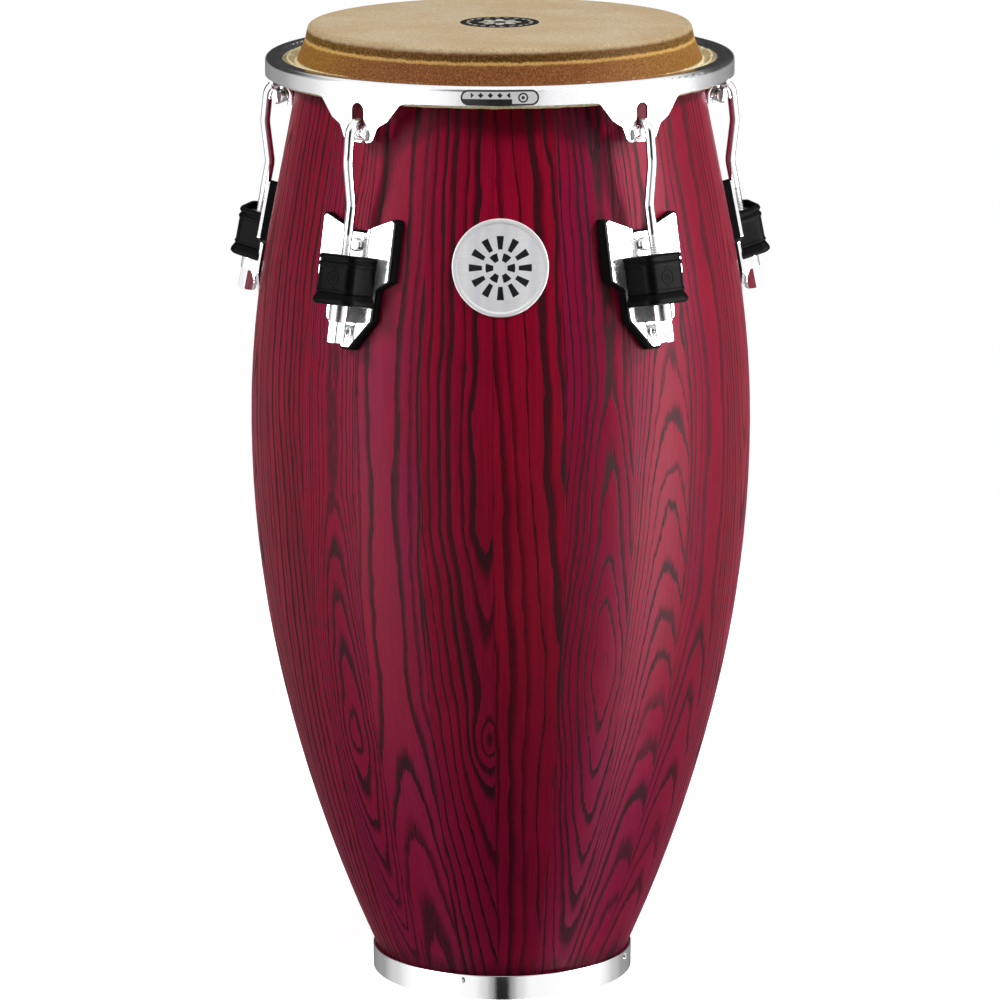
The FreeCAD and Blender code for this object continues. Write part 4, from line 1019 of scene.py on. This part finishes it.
# ---- floor, light and camera
# The studio as polished and varnished parts mirror it: azimuths from the front with their brightness.  The
# bright strip at each side gives the wood its highlights, and the gap in front the dark middle of the chrome.
WALLS = [(-180, 0.04), (-126, 0.05), (-104, 0.5), (-84, 1.2), (-74, 7.0), (-52, 7.0), (-42, 1.1), (-36, 1.0),
         (-23, 0.2), (-12, 0.01), (12, 0.01), (23, 0.2), (36, 1.0), (56, 1.2), (67, 13.0), (90, 13.0),
         (102, 1.2), (118, 0.7), (132, 0.08), (180, 0.04)]
GROUND = [(-180, 0.2), (-134, 0.35), (-112, 0.7), (-88, 1.1), (-76, 1.5), (-72, 7.0), (-52, 7.0), (-42, 1.1),
          (-26, 1.05), (-15, 0.75), (-9, 0.4), (-4, 0.02), (4, 0.02), (9, 0.4), (15, 0.75), (26, 1.05),
          (56, 1.1), (67, 15.0), (86, 15.0), (92, 1.4), (102, 1.0), (120, 0.6), (136, 0.35), (180, 0.2)]
CEILING = 1.05
HORIZON = (0.02, -0.02)  # upward parts of a direction, between which walls give way to ground
CEILING_START = (0.45, 0.75)  # and to the ceiling
FILL_LOW = 0.05  # the weak even light on matt parts, from the sides and from above
FILL_HIGH = 0.65
FLOOR_HALF = 1.5
FLOOR_GLOW = 0.45


def grey(level):
    return (level, level, level)


def backdrop_color(g, turn, stops):
    """A ramp of greys round the drum, from stops of azimuth and brightness."""
    ramp = g.tree.nodes.new("ShaderNodeValToRGB")
    ramp.color_ramp.interpolation = "EASE"
    elements = ramp.color_ramp.elements
    while len(elements) < len(stops):
        elements.new(0.5)
    for element, (degrees, level) in zip(elements, stops):
        element.position = (degrees + 180) / 360
        element.color = (*grey(level), 1)
    g.set(ramp.inputs[0], turn)
    return ramp.outputs[0]


def pale_floor():
    """A pale floor, plain white to the camera, that sends little light back up at the drum."""
    corners = [(-FLOOR_HALF, -FLOOR_HALF, 0), (FLOOR_HALF, -FLOOR_HALF, 0),
               (FLOOR_HALF, FLOOR_HALF, 0), (-FLOOR_HALF, FLOOR_HALF, 0)]
    mesh = bpy.data.meshes.new("floor")
    mesh.from_pydata(corners, [], [(0, 1, 2, 3)])
    floor = bpy.data.objects.new("floor", mesh)
    bpy.context.scene.collection.objects.link(floor)
    paper, g, shader = new_material("floor_paper", Roughness=0.9, Emission_Strength=FLOOR_GLOW)
    rays = g.tree.nodes.new("ShaderNodeLightPath").outputs
    g.set(shader["Base Color"], g.mix(rays["Is Diffuse Ray"], grey(0.93), grey(0.35)))
    g.set(shader["Emission Color"], g.mix(rays["Is Camera Ray"], grey(0.1), grey(1)))
    floor.visible_glossy = False
    floor.data.materials.append(paper)


def studio():
    """A soft white studio: white to the camera, walls and ground to mirrors, and a weak fill to matt parts.
    The world isn't sampled as a light, because such samples light matt parts with what mirrors see."""
    world = bpy.data.worlds.new("studio")
    world.use_nodes = True
    world.cycles.sampling_method = "NONE"
    bpy.context.scene.world = world
    g = Graph(world.node_tree)
    toward = world.node_tree.nodes.new("ShaderNodeTexCoord").outputs["Generated"]
    x, y, z = g.split(toward)
    turn = g.math("ARCTAN2", x, g.minus(y))
    turn = g.math("MULTIPLY_ADD", turn, 1 / (2 * math.pi), 0.5)
    around = g.mix(g.band(z, *HORIZON), backdrop_color(g, turn, WALLS), backdrop_color(g, turn, GROUND))
    overhead = g.band(z, *CEILING_START)
    mirrored = g.mix(overhead, around, grey(CEILING))
    scattered = g.mix(overhead, grey(FILL_LOW), grey(FILL_HIGH))
    rays = world.node_tree.nodes.new("ShaderNodeLightPath").outputs
    color = g.mix(rays["Is Diffuse Ray"], mirrored, scattered)
    color = g.mix(rays["Is Camera Ray"], color, grey(1))
    g.set(world.node_tree.nodes["Background"].inputs["Color"], color)


SOFTBOX_ELEVATION = 36
SOFTBOX_DISTANCE = 2.6
SOFTBOX_WIDTH = 0.22
SOFTBOX_HEIGHT = 0.45


def softbox(name, azimuth, radiance):
    """A soft light aimed at the drum's middle, which no mirror shows."""
    data = bpy.data.lights.new(name, "AREA")
    data.shape = "RECTANGLE"
    data.size = SOFTBOX_WIDTH
    data.size_y = SOFTBOX_HEIGHT
    data.energy = math.pi * SOFTBOX_WIDTH * SOFTBOX_HEIGHT * radiance
    lamp = bpy.data.objects.new(name, data)
    bpy.context.scene.collection.objects.link(lamp)
    turn = math.radians(azimuth)
    lift = math.radians(SOFTBOX_ELEVATION)
    away = Vector((math.sin(turn) * math.cos(lift), -math.cos(turn) * math.cos(lift), math.sin(lift)))
    aim = Vector((0, 0, (CAD_BOX[0].z + CAD_BOX[1].z) / 2))
    lamp.visible_glossy = False
    lamp.location = aim + away * SOFTBOX_DISTANCE
    lamp.rotation_mode = "QUATERNION"
    lamp.rotation_quaternion = away.to_track_quat("Z", "Y")


CAMERA_PLACE = (0, -4.622, 1.389)
CAMERA_LENS = 214.96
CAMERA_DOWN = 12.30
CAMERA_TURN = 0.0096
CAMERA_ROLL = -0.158


def camera():
    """A long lens in front of the drum, looking slightly down at it."""
    data = bpy.data.cameras.new("camera")
    data.lens = CAMERA_LENS
    data.sensor_width = 36.0
    data.clip_end = 100.0
    cam = bpy.data.objects.new("camera", data)
    bpy.context.scene.collection.objects.link(cam)
    turn = Matrix.Rotation(math.radians(CAMERA_TURN), 4, "Z")
    pitch = Matrix.Rotation(math.radians(90 - CAMERA_DOWN), 4, "X")
    roll = Matrix.Rotation(math.radians(CAMERA_ROLL), 4, "Z")
    cam.matrix_world = Matrix.Translation(CAMERA_PLACE) @ turn @ pitch @ roll
    bpy.context.scene.camera = cam


dress()
pale_floor()
studio()
softbox("softbox_left", -64, 106.0)
softbox("softbox_right", 70, 134.0)
camera()
bpy.context.scene.view_settings.view_transform = "Standard"  # plain colours, without a film's curve
